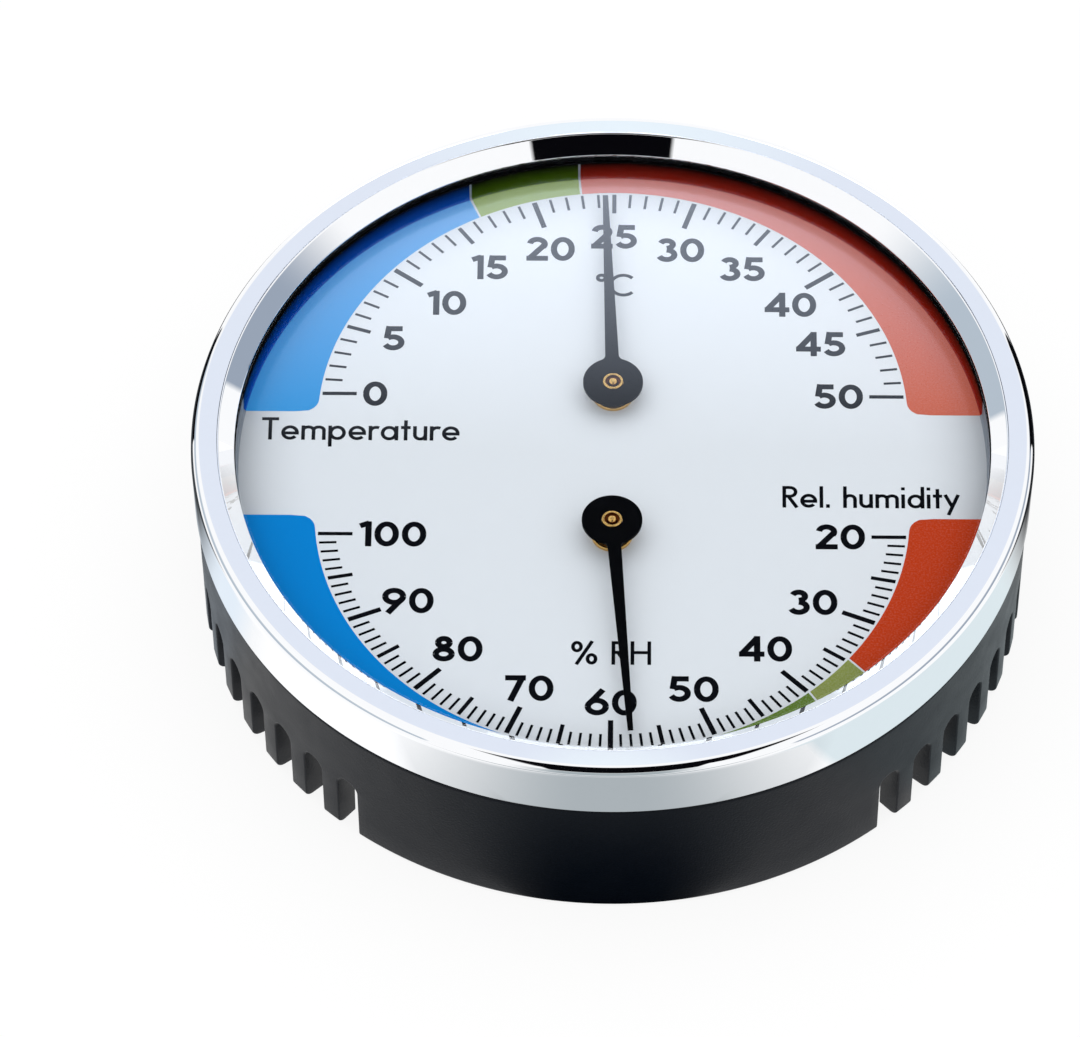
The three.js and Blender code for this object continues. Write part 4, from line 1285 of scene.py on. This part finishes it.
# What the mirrors of the object see: (name, centre, half width, half height, colour, soft edges),
# and the strength where it is not 1.
black = (0.002, 0.002, 0.003, 1)
greyLeft = (0.47, 0.54, 0.61, 1)
greyRight = (0.33, 0.385, 0.47, 1)
greyFront = (0.42, 0.46, 0.48, 1)
gleam = (0.95, 1.0, 1.06, 1)
hard = (0, 0, 0, 0)
cards = [
    ("frontOpening", (24.5, -394, 330), (135.5, 0, 0), (0, 49, 63), black, (0.02, 0.02, 0.1, 0.05)),
    ("frontCeiling", (60, -267, 641), (240, 0, 0), (0, 242, 86), black, (0.1, 0.1, 0, 0.05)),
    ("frontHorizon", (0, -600, 188), (260, 0, 0), (0, 0, 163), (0.38, 0.43, 0.45, 1), (0.6, 0.6, 0, 0)),
    ("leftWall", (-500, 0, 210), (0, 600, 0), (0, 0, 125), greyLeft, (0, 0, 0, 1.0)),
    ("rightWall", (500, 0, 225), (0, 600, 0), (0, 0, 110), greyRight, (0, 0, 0, 1.0)),
    ("windowShade", (0, 330, 450), (110, 0, 0), (0, 0, 110), black, hard),
    ("crownSky", (0, 345, 570), (300, 0, 0), (0, 0, 350), (0.78, 0.83, 0.93, 1), (0.2, 0.2, 0.1, 0.1)),
    ("crownFar", (0, 344, 258), (80, 0, 0), (0, 0, 36), (0.85, 0.94, 1.0, 1), (1, 1, 0.4, 0.4)),
    ("crownNear", (0, 344, 880), (110, 0, 0), (0, 0, 70), (0.86, 0.93, 0.99, 1), (1, 1, 0.3, 0.3)),
    ("leftFlank", (-96, 55, 18), (13, 12, 0), (0, 0, 19), black, (0, 0, 0, 0.1)),
    ("rightFlank", (96, 55, 27), (13, -12, 0), (0, 0, 28), black, (0, 0, 0, 0.1)),
    ("frontFloor", (0, -95, 0.05), (52, 0, 0), (0, 45, 0), greyFront, (0.9, 0.9, 0.2, 0)),
    ("frontFar", (0, -370, 0.05), (150, 0, 0), (0, 230, 0), greyFront, (0.6, 0.6, 0, 0)),
    ("frontShade", (0, -55, 0.06), (24, 0, 0), (0, 6, 0), black, (0.8, 0.8, 0.1, 0)),
    # Dark floor cards behind the sides: painted shadow of the object on the floor, seen only in mirrors.
    ("leftFloorShadow", (-115, 38, 0.05), (64, 0, 0), (0, 44, 0), (0.05, 0.055, 0.06, 1), (0.4, 0, 0.4, 0.3)),
    ("rightFloorShadow", (115, 38, 0.05), (64, 0, 0), (0, 44, 0), (0.02, 0.022, 0.025, 1), (0, 0.4, 0.4, 0.3)),
    ("leftApron", (-72, 4, 0.04), (30, 0, 0), (0, 25, 0), (0.8, 0.88, 0.96, 1), (0.1, 0.1, 0.4, 0.4)),
    ("leftFront", (-60, -46, 0.04), (30, 0, 0), (0, 28, 0), white, (0.2, 0.4, 0.3, 0.3), 1.07),
    ("rightApron", (66, -34, 0.04), (28, 0, 0), (0, 44, 0), (0.74, 0.83, 0.86, 1), (0.05, 0.3, 0.4, 0.4)),
]
# Cards that stand alike on the right and, mirrored, on the left.
pairs = [
    ("Gleam", (6, 338, 300), (7, 0, -13), (8, 0, 4.3), gleam, (0, 0, 0.3, 0.3), 4.0),
    ("Glint", (100, 338, 175), (60, 0, -60), (11, 0, 11), gleam, (0.1, 0.1, 0.3, 0.3), 4.0),
    ("Horizon", (378, 424, 20), (90, -90, 0), (0, 0, 25), white, hard, 1.04),
    ("Far", (190, 240, 0.05), (130, 0, 0), (0, 110, 0), white, hard, 1.04),
]
for side, sign in (("left", -1), ("right", 1)):
    for name, *place, colour, soft, strength in pairs:
        cards.append((side + name, *((sign * x, y, z) for x, y, z in place), colour, soft, strength))


# Round pane of light that the window shows as a pale veil. It falls off evenly from its far edge,
# and is weaker at its rim.
veil = {
    "centre": (-0.3, 234.3, 325.3),
    "rings": (0, 15, 30, 45, 59.6, 59.8, 61.4),
    "columns": 180,
    "rim": 59.6,
    "rimShare": 0.5,
    "depth": 58.0,  # from the far edge to where it ends
    "colour": (0.88, 1.0, 1.22, 1),
    "strength": 4.4,
}


# The pane: rings of points about its centre, with the share that shows worked out on its far to near line.
def makeVeil():
    radius = np.array(veil["rings"])[:, None]
    angle = np.linspace(0, 2 * np.pi, veil["columns"], endpoint=False)
    points = onRing(angle, radius, 0)
    share = np.clip(1 - (veil["rings"][-1] - points[..., 1]) / veil["depth"], 0, 1)
    share = share * np.where(radius > veil["rim"], veil["rimShare"], 1)
    glow = glowMaterial("veilGlow", veil["colour"], veil["strength"])
    onlyMirrors(makePane("veil", points + veil["centre"], share, glow, True))


# Floor, cards and veil.
def makeStage():
    size = studio["floorSize"]
    makeCard("paleFloor", (0, 0, studio["floorLevel"]), (size, 0, 0), (0, size, 0), floorMaterial())
    for name, centre, across, up, colour, soft, *strength in cards:
        glow = glowMaterial(name + "Glow", colour, *strength)
        onlyMirrors(makeCard(name, centre, across, up, glow, soft))
    makeVeil()


# World: plain white to camera and mirrors; lit surfaces get more from overhead than from the horizon.
def makeWorld():
    world = bpy.data.worlds.new("whiteTent")
    world.use_nodes = True
    tree = world.node_tree
    rise = addNode(tree, "SeparateXYZ", {0: addNode(tree, "TexCoord").outputs["Generated"]}).outputs["Z"]
    ends = dict(zip(("From Min", "From Max", "To Min", "To Max"), studio["lightRise"] + studio["light"]))
    lit = tree.nodes["Background"]
    feed(tree, lit.inputs, {"Color": white, "Strength": addNode(tree, "MapRange", {"Value": rise, **ends})})
    plain = addNode(tree, "Background", {"Color": white, "Strength": 1.0})
    showMix(tree, "World Output", seenRay(tree), lit, plain)
    bpy.context.scene.world = world


# Camera fitted to the scale ticks: where it stands from the dial's centre, along its own axes.
view = {
    "elevation": 51.875,
    "azimuth": -0.83,
    "roll": 0.275,
    "distance": 1079.1,
    "right": -8.787,
    "up": -6.496,
    "lens": 296.59,
    "sensor": 36,
    "clip": (0.01, 20),
}


# Camera axes from elevation and roll, turned back by the azimuth; the place is a sum of the axes.
def makeCamera():
    rise, roll, turn = np.radians([view["elevation"], view["roll"], -view["azimuth"]])
    right = np.array([1.0, 0, 0])
    up = np.array([0, np.sin(rise), np.cos(rise)])
    ahead = np.array([0, np.cos(rise), -np.sin(rise)])
    across = np.cos(roll) * right - np.sin(roll) * up
    above = np.sin(roll) * right + np.cos(roll) * up
    place = view["right"] * across + view["up"] * above - view["distance"] * ahead
    about = np.array([[np.cos(turn), -np.sin(turn), 0], [np.sin(turn), np.cos(turn), 0], [0, 0, 1]])
    across, above, ahead, place = (about @ v for v in (across, above, ahead, place))
    place = (place + (0, 0, dialFace)) * mm
    data = bpy.data.cameras.new("camera")
    data.lens = view["lens"]
    data.sensor_width = view["sensor"]
    data.clip_start, data.clip_end = view["clip"]
    camera = addObject("camera", data)
    columns = np.column_stack([across, above, -ahead, place])
    camera.matrix_world = Matrix([*columns.tolist(), [0, 0, 0, 1]])
    bpy.context.scene.camera = camera


makeStage()
makeWorld()
makeCamera()
bpy.context.scene.view_settings.view_transform = "Standard"
print("stage: floor, cards, world and camera set")
